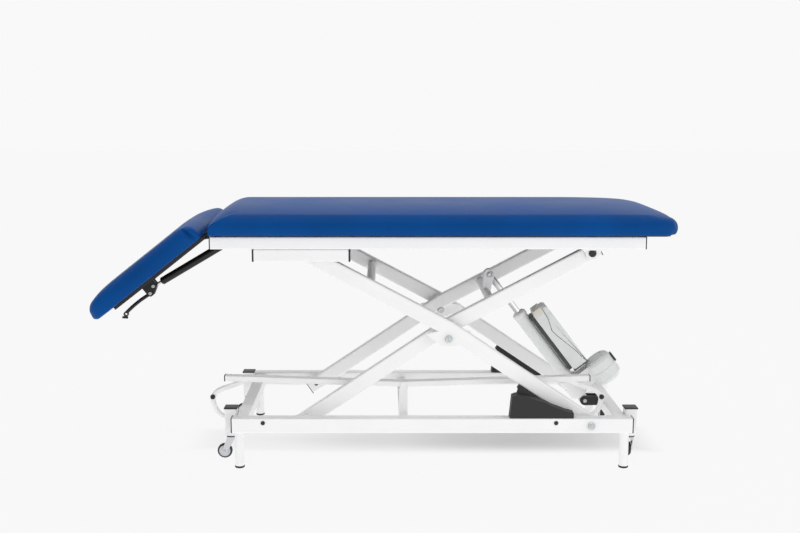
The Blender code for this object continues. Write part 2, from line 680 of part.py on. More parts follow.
def make_slides(paints):
    """Nylon blocks that run in the base rails and the guide channels, each with its pin."""
    lower = body("lower_slides", (SLIDE_X, 0, PIVOT_Z))
    upper = body("upper_slides", (SLIDE_X, 0, TOP_PIVOT_Z))
    for word, side in SIDES.items():
        make_slide(f"lower_slide_{word}", side, lower, RAIL_INNER_Y + RAIL_WALL, RAIL_WIDTH - 2 * RAIL_WALL,
                   RAIL_HEIGHT - 2 * RAIL_WALL, INNER_ARM_Y - ARM_WIDTH / 2, paints["nylon"])
        make_slide(f"upper_slide_{word}", side, upper, TOP_RAIL_INNER_Y + CHANNEL_WALL,
                   TOP_RAIL_WIDTH - 2 * CHANNEL_WALL, CHANNEL_HEIGHT - 2 * CHANNEL_WALL,
                   OUTER_ARM_Y - ARM_WIDTH / 2, paints["nylon"])


def make_slide(name, side, owner, inner_y, width, height, pin_end, material):
    half, tall = SLIDE_LENGTH / 2, height / 2 - SLIDE_PLAY
    low, high = span(side, inner_y + SLIDE_PLAY, inner_y + width - SLIDE_PLAY)
    outline = [(a, b) for a, b in rounded_rectangle(2 * half, 2 * tall, 0.004)]
    block = add_object(name, prism(outline, low, high), owner, material)
    fuse(block, pin(0, 0, SLIDE_PIN, *span(side, pin_end, inner_y + width / 2)))


def make_top_frame(paints):
    owner = body("top_frame", (PIVOT_X, 0, TOP_PIVOT_Z))
    rail_z = TOP_RAIL_Z - TOP_PIVOT_Z
    for word, side in SIDES.items():
        y = side * TOP_RAIL_Y
        shape = box_tube((TOP_RAIL_LEFT - PIVOT_X, y, rail_z), (TOP_RAIL_RIGHT - PIVOT_X, y, rail_z),
                         (0, 1, 0), (0, 0, 1), TOP_RAIL_WIDTH, TOP_RAIL_HEIGHT, TOP_RAIL_WALL)
        rail = add_object(f"top_rail_{word}", shape, owner, paints["white"])
        add_bracket(rail, side)
        make_bolt(f"top_pivot_bolt_{word}", side, owner, 0, 0, SLIDE_PIN, INNER_ARM_Y - ARM_WIDTH / 2,
                  INNER_ARM_Y + ARM_WIDTH / 2 + ARM_TO_ARM + BRACKET_PLATE, paints["black"])
        make_channel(word, side, owner, paints)
    for end, x in (("left", TOP_CROSS_LEFT_X), ("right", TOP_CROSS_RIGHT_X)):
        reach = TOP_RAIL_INNER_Y - FIT
        place = x - PIVOT_X
        shape = box_tube((place, -reach, rail_z), (place, reach, rail_z), (1, 0, 0), (0, 0, 1),
                         TOP_CROSS_WIDTH, TOP_RAIL_HEIGHT, TOP_RAIL_WALL)
        cross = add_object(f"top_cross_tube_{end}", shape, owner, paints["white"])
        if end == "left":
            add_head_lugs(cross)
    make_deck(owner, paints)
    make_main_cushion(owner, paints)


def add_bracket(rail, side):
    """The hinge bracket below a top rail: a flange on the rail and a plate beside the inner arm."""
    bottom = TOP_RAIL_BOTTOM - TOP_PIVOT_Z
    plate = INNER_ARM_Y + ARM_WIDTH / 2 + ARM_TO_ARM
    flange = 0.005
    fuse(rail, box(-BRACKET_HALF, BRACKET_HALF, *span(side, plate, TOP_RAIL_Y),
                   bottom - flange, bottom + TOP_RAIL_WALL / 2))
    foot = ((-BRACKET_HALF, bottom - flange / 2), (BRACKET_HALF, bottom - flange / 2))
    fuse(rail, eye_plate(0, 0, BRACKET_RADIUS, foot, *span(side, plate, plate + BRACKET_PLATE)))
    cut(rail, pin(0, 0, SLIDE_BORE, *span(side, plate - 0.01, plate + 2 * BRACKET_PLATE)))


def make_channel(word, side, owner, paints):
    y = side * TOP_RAIL_Y
    shape = box_tube((CHANNEL_LEFT - PIVOT_X, y, 0), (CHANNEL_RIGHT - PIVOT_X, y, 0), (0, 1, 0), (0, 0, 1),
                     TOP_RAIL_WIDTH, CHANNEL_HEIGHT, CHANNEL_WALL)
    channel = add_object(f"guide_channel_{word}", shape, owner, paints["white"])
    reach = SLIDE_BORE / 2 + SLOT_END
    slot = SLIDE_PIN / 2 + SLOT_PLAY
    low, high = span(side, TOP_RAIL_INNER_Y - CHANNEL_WALL, TOP_RAIL_INNER_Y + 2 * CHANNEL_WALL)
    cut(channel, box(SLIDE_LOW_X - reach - PIVOT_X, SLIDE_HIGH_X + reach - PIVOT_X, low, high, -slot, slot))


def add_head_lugs(cross):
    """Hinge lugs for the head section, and the two cheeks that hold the gas spring."""
    face = TOP_CROSS_LEFT_X - TOP_CROSS_WIDTH / 2 + TOP_RAIL_WALL / 2 - PIVOT_X
    hinge = (HEAD_HINGE_X - PIVOT_X, HEAD_HINGE_Z - TOP_PIVOT_Z)
    tall = 0.011
    middle = TOP_RAIL_Z - TOP_PIVOT_Z
    for side in SIDES.values():
        low, high = span(side, HINGE_Y, HINGE_Y + HINGE_PLATE)
        foot = ((face, middle - tall), (face, middle + tall))
        fuse(cross, eye_plate(*hinge, HINGE_RADIUS, foot, low, high))
        fuse(cross, pin(*hinge, HINGE_PIN, *span(side, HINGE_Y + HINGE_PLATE / 2, HINGE_Y + 3 * HINGE_PLATE)))
    half = SPRING_EYE_WIDTH / 2 + RUNNING
    eye = (SPRING_TOP_X - PIVOT_X, SPRING_TOP_Z - TOP_PIVOT_Z)
    bottom = TOP_RAIL_BOTTOM - TOP_PIVOT_Z + TOP_RAIL_WALL / 2
    x = TOP_CROSS_LEFT_X - PIVOT_X
    for side in SIDES.values():
        low, high = span(side, half, half + CLEVIS_PLATE)
        foot = ((x - TOP_CROSS_WIDTH * 0.4, bottom), (x + TOP_CROSS_WIDTH * 0.4, bottom))
        fuse(cross, eye_plate(*eye, SPRING_EYE_RADIUS, foot, low, high))
    fuse(cross, pin(*eye, SPRING_PIN, -half - CLEVIS_PLATE * 1.4, half + CLEVIS_PLATE * 1.4))


def make_deck(owner, paints):
    low = DECK_BOTTOM - TOP_PIVOT_Z
    middle = (DECK_LEFT + DECK_RIGHT) / 2 - PIVOT_X
    outline = rounded_rectangle(DECK_RIGHT - DECK_LEFT, 2 * DECK_HALF_WIDTH, 0.030, 4)
    shape = loft([[(middle + a, b, z) for a, b in outline] for z in (low, low + DECK_THICKNESS)])
    add_object("deck_board", shape, owner, paints["black"])


def cushion_outline(length, width, left, right, inset, steps=6):
    """A rounded rectangle from x=0 to x=length. Each end has its corner radius and its share of the inset."""
    points = []
    sides = 7
    for corner in range(4):
        at_right = corner in (0, 3)
        radius, share = right if at_right else left
        radius = max(radius - inset, 0.002)
        x = (length - share * inset - radius) if at_right else (share * inset + radius)
        y = (width / 2 - inset - radius) * (1 if corner in (0, 1) else -1)
        for step in range(steps + 1):
            angle = math.radians(90 * corner + 90 * step / steps)
            points.append(Vector((x + radius * math.cos(angle), y + radius * math.sin(angle))))
        points.append(None)
    outline = []
    for i, point in enumerate(points):
        if point is not None:
            outline.append(point)
            continue
        start, end = points[i - 1], points[(i + 1) % len(points)]
        outline += [start.lerp(end, k / sides) for k in range(1, sides)]
    return outline


def cushion_shape(length, width, thickness, left, right):
    """A padded block with drawn-in sides, rounded upper edges and a crown, from z=0 up."""
    rings = [(0.030, 0.0), (CUSHION_DRAW_IN, 0.0), (CUSHION_DRAW_IN * 0.45, 0.006), (0.0, thickness * 0.36)]
    top = thickness - CUSHION_CROWN
    for i in range(5):
        angle = math.radians(90 * i / 4)
        rings.append((CUSHION_EDGE * (1 - math.cos(angle)), top - CUSHION_EDGE * (1 - math.sin(angle))))
    rings += [(0.060, top + CUSHION_CROWN * 0.5), (0.120, top + CUSHION_CROWN * 0.85), (0.200, thickness)]
    return loft([
        [(p.x, p.y, height) for p in cushion_outline(length, width, left, right, inset)]
        for inset, height in rings
    ])


def make_main_cushion(owner, paints):
    shape = cushion_shape(MAIN_RIGHT - MAIN_LEFT, CUSHION_WIDTH, MAIN_THICKNESS,
                          (MAIN_CORNER_LEFT, CUSHION_SQUARE_END), (MAIN_CORNER_RIGHT, 1.0))
    bmesh.ops.translate(shape, verts=shape.verts, vec=(MAIN_LEFT - PIVOT_X, 0, CUSHION_BOTTOM - TOP_PIVOT_Z))
    add_object("main_cushion", shape, owner, paints["vinyl"], True)


def make_head(paints):
    owner = body("head_section", (HEAD_HINGE_X, 0, HEAD_HINGE_Z), HEAD_TILT)
    low, high = PAN_RISE, PAN_RISE + PAN_FLANGE
    left, right = -PAN_START - PAN_LENGTH, -PAN_START
    shape = box(left, right, -PAN_HALF_WIDTH, PAN_HALF_WIDTH, low, high)
    pan = add_object("head_pan", shape, owner, paints["black"])
    sheet = PAN_SHEET
    cut(pan, box(left + sheet, right - sheet, -PAN_HALF_WIDTH + sheet, PAN_HALF_WIDTH - sheet,
                 low - sheet, high - sheet))
    for side in SIDES.values():
        ear = span(side, HINGE_Y + HINGE_PLATE + RUNNING, HINGE_Y + 2 * HINGE_PLATE)
        foot = ((-PAN_START * 1.6, high - sheet / 2), (-PAN_START * 3.6, high - sheet / 2))
        fuse(pan, eye_plate(0, 0, HINGE_RADIUS, foot, *ear))
        cut(pan, pin(0, 0, HINGE_PIN + 2 * RUNNING, *span(side, HINGE_Y, HINGE_Y + 4 * HINGE_PLATE)))
        half = SPRING_EYE_WIDTH / 2 + RUNNING
        cheek = [(LEVER_X - 0.012, high - sheet / 2), (LEVER_X - 0.012, LEVER_Z),
                 (LEVER_X - 0.006, LEVER_Z - 0.010), (LEVER_X + 0.006, LEVER_Z - 0.010),
                 (SPRING_EYE_X + 0.014, SPRING_EYE_Z - 0.004),
                 (SPRING_EYE_X + 0.014, high - sheet / 2)]
        fuse(pan, prism(cheek, *span(side, half, half + CLEVIS_PLATE)))
    fuse(pan, pin(LEVER_X, LEVER_Z, LEVER_PIN, -half - CLEVIS_PLATE / 2, half + CLEVIS_PLATE / 2))
    make_head_cushion(owner, high + FIT, paints)


def make_head_cushion(owner, bottom, paints):
    shape = cushion_shape(HEAD_LENGTH, CUSHION_WIDTH, HEAD_THICKNESS,
                          (HEAD_CORNER_TIP, 1.0), (HEAD_CORNER_HINGE, CUSHION_SQUARE_END))
    bend = 0.060
    for vert in shape.verts:
        near_hinge = max(0.0, 1 - (HEAD_LENGTH - vert.co.x) / bend)
        vert.co.x -= HEAD_BEVEL * vert.co.z * near_hinge
        vert.co.x -= HEAD_LENGTH + HEAD_START
        vert.co.z += bottom
    add_object("head_cushion", shape, owner, paints["vinyl"], True)


def spring_eye():
    """The gas spring's lower eye in world X and Z, and the spring's tilt and length."""
    cos, sin = math.cos(HEAD_TILT), math.sin(HEAD_TILT)
    x = HEAD_HINGE_X + SPRING_EYE_X * cos + SPRING_EYE_Z * sin
    z = HEAD_HINGE_Z - SPRING_EYE_X * sin + SPRING_EYE_Z * cos
    tilt = math.atan2(z - SPRING_TOP_Z, SPRING_TOP_X - x)
    return x, z, tilt, math.hypot(x - SPRING_TOP_X, z - SPRING_TOP_Z)


def make_gas_spring(paints):
    x, z, tilt, length = spring_eye()
    start = body("gas_spring", (SPRING_TOP_X, 0, SPRING_TOP_Z), tilt)
    width = SPRING_EYE_WIDTH / 2
    radius = SPRING_DIAMETER / 2
    bore = SPRING_ROD / 2 + RUNNING
    depth = length - SPRING_ROD_INSIDE - 0.010
    profile = [(0, -SPRING_BODY_START), (radius * 0.7, -SPRING_BODY_START),
               (radius, -SPRING_BODY_START - 0.004), (radius, -SPRING_BODY_END + 0.004),
               (radius * 0.7, -SPRING_BODY_END), (bore, -SPRING_BODY_END),
               (bore, -depth), (0, -depth)]
    cylinder = add_object("gas_spring_cylinder", turned(profile, 20, "X"), start, paints["black"], True)
    foot = ((-SPRING_BODY_START - 0.003, -0.007), (-SPRING_BODY_START - 0.003, 0.007))
    fuse(cylinder, eye_plate(0, 0, SPRING_EYE_RADIUS * 0.9, foot, -width, width))
    cut(cylinder, pin(0, 0, SPRING_PIN + 2 * RUNNING, -0.02, 0.02))
    end = body("gas_spring_slide", (x, 0, z), tilt)
    shape = round_bar((SPRING_ROD_INSIDE, 0, 0), (SPRING_EYE_RADIUS * 0.5, 0, 0), SPRING_ROD, 16)
    rod = add_object("gas_spring_rod", shape, end, paints["steel"], True)
    fuse(rod, pin(0, 0, 2 * SPRING_EYE_RADIUS, -width, width))


def make_release_lever(paints):
    """The lever that lets the gas spring go: a curved arm with a ring at its end."""
    cos, sin = math.cos(HEAD_TILT), math.sin(HEAD_TILT)
    x = HEAD_HINGE_X + LEVER_X * cos + LEVER_Z * sin
    z = HEAD_HINGE_Z - LEVER_X * sin + LEVER_Z * cos
    owner = body("release_lever_place", (x, 0, z), HEAD_TILT)
    bow = LEVER_LENGTH * 0.03
    route = [(-0.002, 0, 0), (-LEVER_LENGTH * 0.35, 0, bow), (-LEVER_LENGTH * 0.7, 0, bow * 0.9),
             (-LEVER_LENGTH, 0, 0)]
    lever = add_object("release_lever", bent_bar(route, LEVER_DIAMETER), owner, paints["black"], True)
    width = SPRING_EYE_WIDTH / 2
    fuse(lever, pin(0, 0, 2 * LEVER_BOSS_RADIUS, -width, width))
    fuse(lever, pin(-LEVER_LENGTH, -0.003, 0.018, -0.005, 0.005))
    cut(lever, pin(0, 0, LEVER_PIN + 2 * RUNNING, -0.02, 0.02))
    cut(lever, pin(-LEVER_LENGTH, -0.003, 0.009, -0.02, 0.02))


def make_actuator(paints):
    length = math.hypot(ROD_PIN_X - ACTUATOR_X, ROD_PIN_Z - PIVOT_Z)
    tilt = math.atan2(ROD_PIN_Z - PIVOT_Z, ACTUATOR_X - ROD_PIN_X)
    owner = body("actuator", (ACTUATOR_X, 0, PIVOT_Z), tilt)
    width = ACTUATOR_EYE_WIDTH / 2
    radius = ACTUATOR_TUBE / 2
    gear_end = GEAR_START + GEAR_LENGTH
    profile = [(0, -GEAR_START), (GEAR_RADIUS * 0.8, -GEAR_START), (GEAR_RADIUS, -GEAR_START - 0.008),
               (GEAR_RADIUS, -gear_end + 0.006), (radius, -gear_end), (radius, -ACTUATOR_TUBE_END + 0.012),
               (radius * 0.85, -ACTUATOR_TUBE_END), (ROD_DIAMETER / 2 + RUNNING, -ACTUATOR_TUBE_END),
               (ROD_DIAMETER / 2 + RUNNING, -ACTUATOR_BORE_START), (0, -ACTUATOR_BORE_START)]
    item = add_object("actuator_body", turned(profile, 20, "X"), owner, paints["plastic"], True)
    start, end = -MOTOR_START, -MOTOR_START - MOTOR_LENGTH
    motor = [(0, start), (MOTOR_RADIUS * 0.75, start), (MOTOR_RADIUS, start - 0.014),
             (MOTOR_RADIUS, end + 0.010), (MOTOR_RADIUS * 0.9, end), (0, end)]
    shape = turned(motor, 20, "X")
    bmesh.ops.translate(shape, verts=shape.verts, vec=(0, 0, MOTOR_OFFSET))
    half = GEAR_RADIUS * 0.75
    neck = box(-gear_end + 0.014, -GEAR_START - 0.012, -half, half, 0, MOTOR_OFFSET)
    foot = ((-GEAR_START - 0.010, -ACTUATOR_EYE_RADIUS), (-GEAR_START - 0.010, ACTUATOR_EYE_RADIUS))
    fuse(item, neck, shape, eye_plate(0, 0, ACTUATOR_EYE_RADIUS * 0.94, foot, -width, width))
    cut(item, pin(0, 0, ACTUATOR_PIN + 2 * RUNNING, -0.04, 0.04))
    low = radius + BOX_GAP
    rib = BOX_RIB_WIDTH / 2
    fuse(item, box(-BOX_START - BOX_LENGTH * 0.9, -BOX_START - BOX_LENGTH * 0.1, -rib, rib,
                   radius * 0.7, low - FIT))
    outline = rounded_rectangle(BOX_LENGTH, BOX_HEIGHT, 0.012, 4)
    middle = (-BOX_START - BOX_LENGTH / 2, low + BOX_HEIGHT / 2)
    half = BOX_WIDTH / 2
    rings = [[(middle[0] + a * s, y, middle[1] + b * s) for a, b in outline]
             for y, s in ((-half, 0.94), (-half + 0.004, 1.0), (half - 0.004, 1.0), (half, 0.94))]
    add_object("control_box", loft(rings), owner, paints["plastic"])
    make_actuator_rod(length, tilt, paints)


def make_actuator_rod(length, tilt, paints):
    end = body("actuator_slide", (ROD_PIN_X, 0, ROD_PIN_Z), tilt)
    inside = length - ROD_INSIDE
    shape = round_bar((inside, 0, 0), (ROD_EYE_RADIUS * 0.6, 0, 0), ROD_DIAMETER, 20)
    rod = add_object("actuator_rod", shape, end, paints["steel"], True)
    width = ROD_EYE_WIDTH / 2
    fuse(rod, pin(0, 0, 2 * ROD_EYE_RADIUS, -width, width))
    cut(rod, pin(0, 0, ACTUATOR_PIN + 2 * RUNNING, -0.03, 0.03))


def make_foot_bar(paints):
    """A shallow V of flat tube that rocks on its post, with a bent pedal loop below each end."""
    owner = body("foot_bar_place", (FOOT_BAR_X, FOOT_BAR_Y, FOOT_BAR_Z))
    outer = rounded_rectangle(FOOT_BAR_WIDTH, FOOT_BAR_HEIGHT, 0.004)
    inner = rounded_rectangle(FOOT_BAR_WIDTH - 2 * FOOT_BAR_WALL, FOOT_BAR_HEIGHT - 2 * FOOT_BAR_WALL, 0.002)
    flat = MID_BEAM_SIZE / 2
    places = [(-FOOT_BAR_LEFT, 0, FOOT_BAR_RISE), (-flat, 0, 0), (flat, 0, 0),
              (FOOT_BAR_RIGHT, 0, FOOT_BAR_RISE)]
    axes = ((0, 1, 0), (0, 0, 1))
    shape = hollow_loft([place_ring(outer, point, *axes) for point in places],
                        [place_ring(inner, point, *axes) for point in places])
    bar = add_object("foot_bar", shape, owner, paints["white"])
    cut(bar, pin(0, 0, FOOT_BAR_PIN + 2 * RUNNING, -FOOT_BAR_WIDTH, FOOT_BAR_WIDTH))
    for side, end in ((-1, FOOT_BAR_LEFT), (1, FOOT_BAR_RIGHT)):
        tip = end + LOOP_REACH
        low = FOOT_BAR_RISE - FOOT_BAR_HEIGHT / 2
        route = [(end - 0.072, low + 0.0035), (end - 0.030, low - 0.0145), (tip - 0.018, low - 0.0360),
                 (tip, low - 0.0610), (tip - 0.005, low - 0.0920), (tip - 0.020, low - 0.1160),
                 (tip - 0.042, low - LOOP_DROP)]
        fuse(bar, bent_bar([(side * x, 0, z) for x, z in route], LOOP_DIAMETER))


def make_castor(name, place, turn, paints):
    """A swivel fork with stem and axle, and its wheel. The fork trails along -X before it is turned."""
    swivel = body(f"castor_swivel_{name}", (*place, 0), 0.0, turn)
    stem = STEM_DIAMETER / 2
    race = RACE_DIAMETER / 2
    top = POST_BOTTOM - RUNNING
    floor = POST_BOTTOM + POST_FLOOR + RUNNING
    profile = [(0, top - RACE_HEIGHT), (race, top - RACE_HEIGHT), (race, top - 0.002), (race - 0.002, top),
               (stem, top), (stem, floor), (stem * 1.6, floor), (stem * 1.4, floor + 0.004),
               (0, floor + 0.004)]
    fork = add_object(f"castor_fork_{name}", turned(profile), swivel, paints["steel"])
    half = WHEEL_WIDTH / 2 + FORK_SIDE_GAP
    bridge = top - RACE_HEIGHT
    fuse(fork, box(-race * 0.9, race * 0.7, -half - FORK_PLATE, half + FORK_PLATE,
                   bridge - FORK_PLATE, bridge + 0.001))
    for side in SIDES.values():
        low, high = span(side, half, half + FORK_PLATE)
        foot = ((-race * 0.9, bridge - FORK_PLATE / 2), (race * 0.7, bridge - FORK_PLATE / 2))
        fuse(fork, eye_plate(-TRAIL, WHEEL_Z, 0.009, foot, low, high))
    fuse(fork, pin(-TRAIL, WHEEL_Z, AXLE_DIAMETER, -half - FORK_PLATE * 1.8, half + FORK_PLATE * 1.8, 16))
    hub = (place[0] - TRAIL * math.cos(turn), place[1] - TRAIL * math.sin(turn), WHEEL_Z)
    axle = body(f"castor_axle_{name}", hub, 0.0, turn)
    bore = AXLE_DIAMETER / 2 + RUNNING
    rim, wide = WHEEL_DIAMETER / 2, WHEEL_WIDTH / 2
    profile = [(bore, -wide), (0.009, -wide), (0.010, -wide + 0.003), (rim * 0.72, -wide + 0.003),
               (rim - 0.004, -wide + 0.001), (rim, -wide + 0.006)]
    profile += [(radius, -height) for radius, height in reversed(profile)]
    add_object(f"castor_wheel_{name}", turned(profile, 16, "Y"), axle, paints["rubber"], True)


def main():
    clear_scene()
    paints = {
        "white": paint("white powder coat", (0.80, 0.80, 0.80), 0.35),
        "black": paint("black plastic", (0.012, 0.012, 0.013), 0.45),
        "vinyl": paint("blue vinyl", (0.002, 0.050, 0.250), 0.40),
        "zinc": paint("zinc", (0.55, 0.55, 0.56), 0.35, 1.0),
        "steel": paint("bright steel", (0.62, 0.62, 0.62), 0.25, 1.0),
        "nylon": paint("nylon", (0.02, 0.02, 0.02), 0.5),
        "plastic": paint("light grey plastic", (0.58, 0.60, 0.57), 0.45),
        "rubber": paint("grey rubber", (0.16, 0.16, 0.16), 0.6),
    }
    make_base(paints)
    make_outer_arms(paints)
    make_inner_arms(paints)
    make_slides(paints)
    make_top_frame(paints)
    make_head(paints)
    make_gas_spring(paints)
    make_release_lever(paints)
    make_actuator(paints)
    make_foot_bar(paints)
    turns = {"near_left": 0.0, "near_right": -math.pi / 2, "far_left": 0.0, "far_right": math.pi / 2}
    for word, side in SIDES.items():
        for end, x in (("left", POST_LEFT_X), ("right", POST_RIGHT_X)):
            name = f"{word}_{end}"
            make_castor(name, (x, side * POST_Y), turns[name], paints)


main()
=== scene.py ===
"""Looks for the electric therapy couch: upholstery, finishes, trim and the studio."""
import json
import math

import bmesh
import bpy
import numpy as np
from mathutils import Matrix, Vector


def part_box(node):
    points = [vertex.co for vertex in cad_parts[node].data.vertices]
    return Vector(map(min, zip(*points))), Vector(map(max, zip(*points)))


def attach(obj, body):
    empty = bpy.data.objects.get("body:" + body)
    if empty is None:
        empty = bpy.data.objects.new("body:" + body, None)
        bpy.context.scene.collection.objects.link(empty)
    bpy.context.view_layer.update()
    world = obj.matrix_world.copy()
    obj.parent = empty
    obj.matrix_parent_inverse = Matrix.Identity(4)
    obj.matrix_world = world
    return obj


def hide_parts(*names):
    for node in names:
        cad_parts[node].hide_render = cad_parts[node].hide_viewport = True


bl_info = {
    "name": "Therapy Couch Looks",
    "version": (1, 0, 0),
    "blender": (4, 5, 0),
    "location": "View3D > Sidebar > Couch",
    "description": "Upholsters and finishes a treatment couch built round its CAD frame",
    "category": "Object",
}

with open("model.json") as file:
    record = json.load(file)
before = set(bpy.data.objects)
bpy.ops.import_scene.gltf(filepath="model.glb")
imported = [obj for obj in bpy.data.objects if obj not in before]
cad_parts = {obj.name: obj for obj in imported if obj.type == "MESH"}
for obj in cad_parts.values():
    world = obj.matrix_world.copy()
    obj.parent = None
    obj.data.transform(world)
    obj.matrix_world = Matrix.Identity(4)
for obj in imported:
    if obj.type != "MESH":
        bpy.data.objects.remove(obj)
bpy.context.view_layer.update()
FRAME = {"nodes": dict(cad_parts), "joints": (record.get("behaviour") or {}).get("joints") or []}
NODES = FRAME["nodes"]
JOINTS = {joint["name"]: joint for joint in FRAME["joints"]}
# Every side and end of the couch, with its direction along Y or X
SIDES = {"near": -1, "far": 1}
ENDS = {"left": -1, "right": 1}
CORNERS = [f"{side}_{end}" for side in SIDES for end in ENDS]
UP = Vector((0, 0, 1))
HEAD_TILT = math.radians(-38.2)
HEAD_HINGE = Vector(JOINTS["head_tilt"]["pos_m"])
# The arms' lines cross above the scissor's bolt, and run at these distances from the couch's middle
ARM_APEX = Vector(JOINTS["scissor"]["pos_m"]) + Vector((0, 0, 0.034))
ARM_Y = {"outer_arms": 0.257, "inner_arms": 0.221}
# Brightness of the backdrop, of the floor as it lights the couch, and of the surround as it lights the couch
BACKDROP = 0.945
FLOOR_BOUNCE = 1.42
SURROUND_LIGHT = 0.70
# Half the width over which one paint changes to another, and where a castor's tyre starts
PAINT_BLUR = 0.0002
TYRE_RADIUS = 0.0190
# Finishes with their slots
BLACK = ("black_moulding", "black_plastic")
WHITE = ("powder_coat", "white_paint")
ZINC = ("zinc_plate", "zinc")
HOUSING = ("drive_housing", "grey_plastic")
# The grey seal finish colours the lid's joints and the box's lip, and also the painted shade in the gap below
# the control box
SEAL_AND_SHADE = ("grey_seal_and_shade", "grey_plastic")
VINYL = ("pebbled_vinyl", "vinyl")
HEXAGON = {"corners": 6, "dish": 0.6}
# Limits for picking faces and edges
SAME_WAY = 0.999
SAME_PLACE = 1e-5
SHARP_CORNER = 0.6
# Room beside a cushion's cover, inside the CAD cushion
SIDE_ROOM = 0.002


def colour_property(name, description, default):
    return bpy.props.FloatVectorProperty(
        name=name, description=description, default=default, subtype="COLOR", min=0, max=1)


def length_property(name, description, default, least=0.0):
    return bpy.props.FloatProperty(
        name=name, description=description, default=default, unit="LENGTH", min=least)


class CouchColours(bpy.types.PropertyGroup):
    vinyl: colour_property("Vinyl", "Upholstery colour", (0.0004, 0.057, 0.238))
    paint: colour_property("Powder coat", "Colour of the steel frame", (0.87, 0.87, 0.874))
    moulding: colour_property("Drive housing", "Colour of the actuator and control box", (0.74, 0.765, 0.745))
    black: colour_property("Black parts", "Colour of caps, guards and the head pan", (0.010, 0.010, 0.011))


class CouchPadding(bpy.types.PropertyGroup):
    voxel: length_property("Mesh size", "Size of the faces of a cushion", 0.0055, 0.003)
    edge: length_property("Top edge", "Radius of a cushion's upper edge", 0.026, 0.004)
    crown: length_property("Crown", "Height of the main cushion's middle above its edges", 0.026)
    seam: length_property("Seam edge", "Radius of the main cushion's edge at the hinge", 0.0018, 0.001)
    tuck: length_property("Tucked edge", "Radius of the head cushion's edge at the hinge", 0.010, 0.001)
    swell: length_property("Swell", "Furthest that the filling may push the vinyl out", 0.003)
    pressure: bpy.props.FloatProperty(
        name="Filling pressure", description="Pressure inside a cushion while it swells",
        default=3.0, min=0.0)
    foot_corner: length_property("Foot end corner", "Plan radius at the foot end", 0.075)
    tip_corner: length_property("Head tip corner", "Plan radius at the head's tip", 0.060)


class CouchTrim(bpy.types.PropertyGroup):
    cap: length_property("End cap", "How far a tube's end cap stands out", 0.004, 0.001)
    plug: length_property("Hole plug", "Diameter of the plugs in the base rails", 0.014)
    nut: length_property("Hexagon", "Size across the corners of the hexagon heads", 0.022)
    strip: length_property("Arm strip", "Thickness of the rubber strip below an outer arm", 0.016)
    bead: length_property("Weld bead", "Thickness of a weld bead", 0.005, 0.001)


class CouchStudio(bpy.types.PropertyGroup):
    eye: bpy.props.FloatVectorProperty(
        name="Camera place", description="Where the camera stands", subtype="TRANSLATION", unit="LENGTH",
        default=(0.0054, -3.7017, 1.2018))
    pitch: bpy.props.FloatProperty(
        name="Camera pitch", description="How far the camera looks down", subtype="ANGLE",
        default=math.radians(8.845))
    lens: bpy.props.FloatProperty(
        name="Lens", description="Focal length in millimetres", default=48.15, min=10)
    shift: bpy.props.FloatProperty(
        name="Frame shift", description="Sideways shift of the frame", default=0.0206)
    light: bpy.props.FloatProperty(
        name="Light", description="Strength of the studio lamps", default=1.0, min=0.0)


PROPERTIES = {"couch_colours": CouchColours, "couch_padding": CouchPadding, "couch_trim": CouchTrim,
              "couch_studio": CouchStudio}


class Value:
    """A number that changes over a surface. Python's operators add Math nodes to its tree."""

    def __init__(self, nodes, socket):
        self.nodes = nodes
        self.socket = socket

    def maths(self, operation, first, second=0.0):
        return self.nodes.node("ShaderNodeMath", {"operation": operation}, {0: first, 1: second})

    def __add__(self, other):
        return self.maths("ADD", self, other)

    def __sub__(self, other):
        return self.maths("SUBTRACT", self, other)

    def __mul__(self, other):
        return self.maths("MULTIPLY", self, other)

    def larger(self, other):
        return self.maths("MAXIMUM", self, other)

    def ramp(self, low, high, start=0.0, end=1.0):
        """Runs smoothly from start to end as the value goes from low to high."""
        sockets = {"Value": self, "From Min": low, "From Max": high, "To Min": start, "To Max": end}
        return self.nodes.node("ShaderNodeMapRange", {"interpolation_type": "SMOOTHSTEP"}, sockets)


class Nodes:
    """The node tree of a material or a world, written as expressions."""

    def __init__(self, owner):
        owner.use_nodes = True
        self.tree = owner.node_tree

    def node(self, kind, settings=None, sockets=None, output=0):
        made = self.tree.nodes.new(kind)
        for key, value in (settings or {}).items():
            setattr(made, key, value)
        for key, value in (sockets or {}).items():
            self.feed(made.inputs[key], value)
        return Value(self, made.outputs[output])

    def feed(self, socket, value):
        if isinstance(value, Value):
            self.tree.links.new(value.socket, socket)
        else:
            socket.default_value = value

    def looked_at(self):
        """1 for rays that show a surface, straight, mirrored or through another, and 0 for its light."""
        seen = self.node("ShaderNodeLightPath", output="Is Camera Ray")
        for ray in ("Is Glossy Ray", "Is Transmission Ray"):
            seen = seen.larger(self.node("ShaderNodeLightPath", output=ray))
        return seen


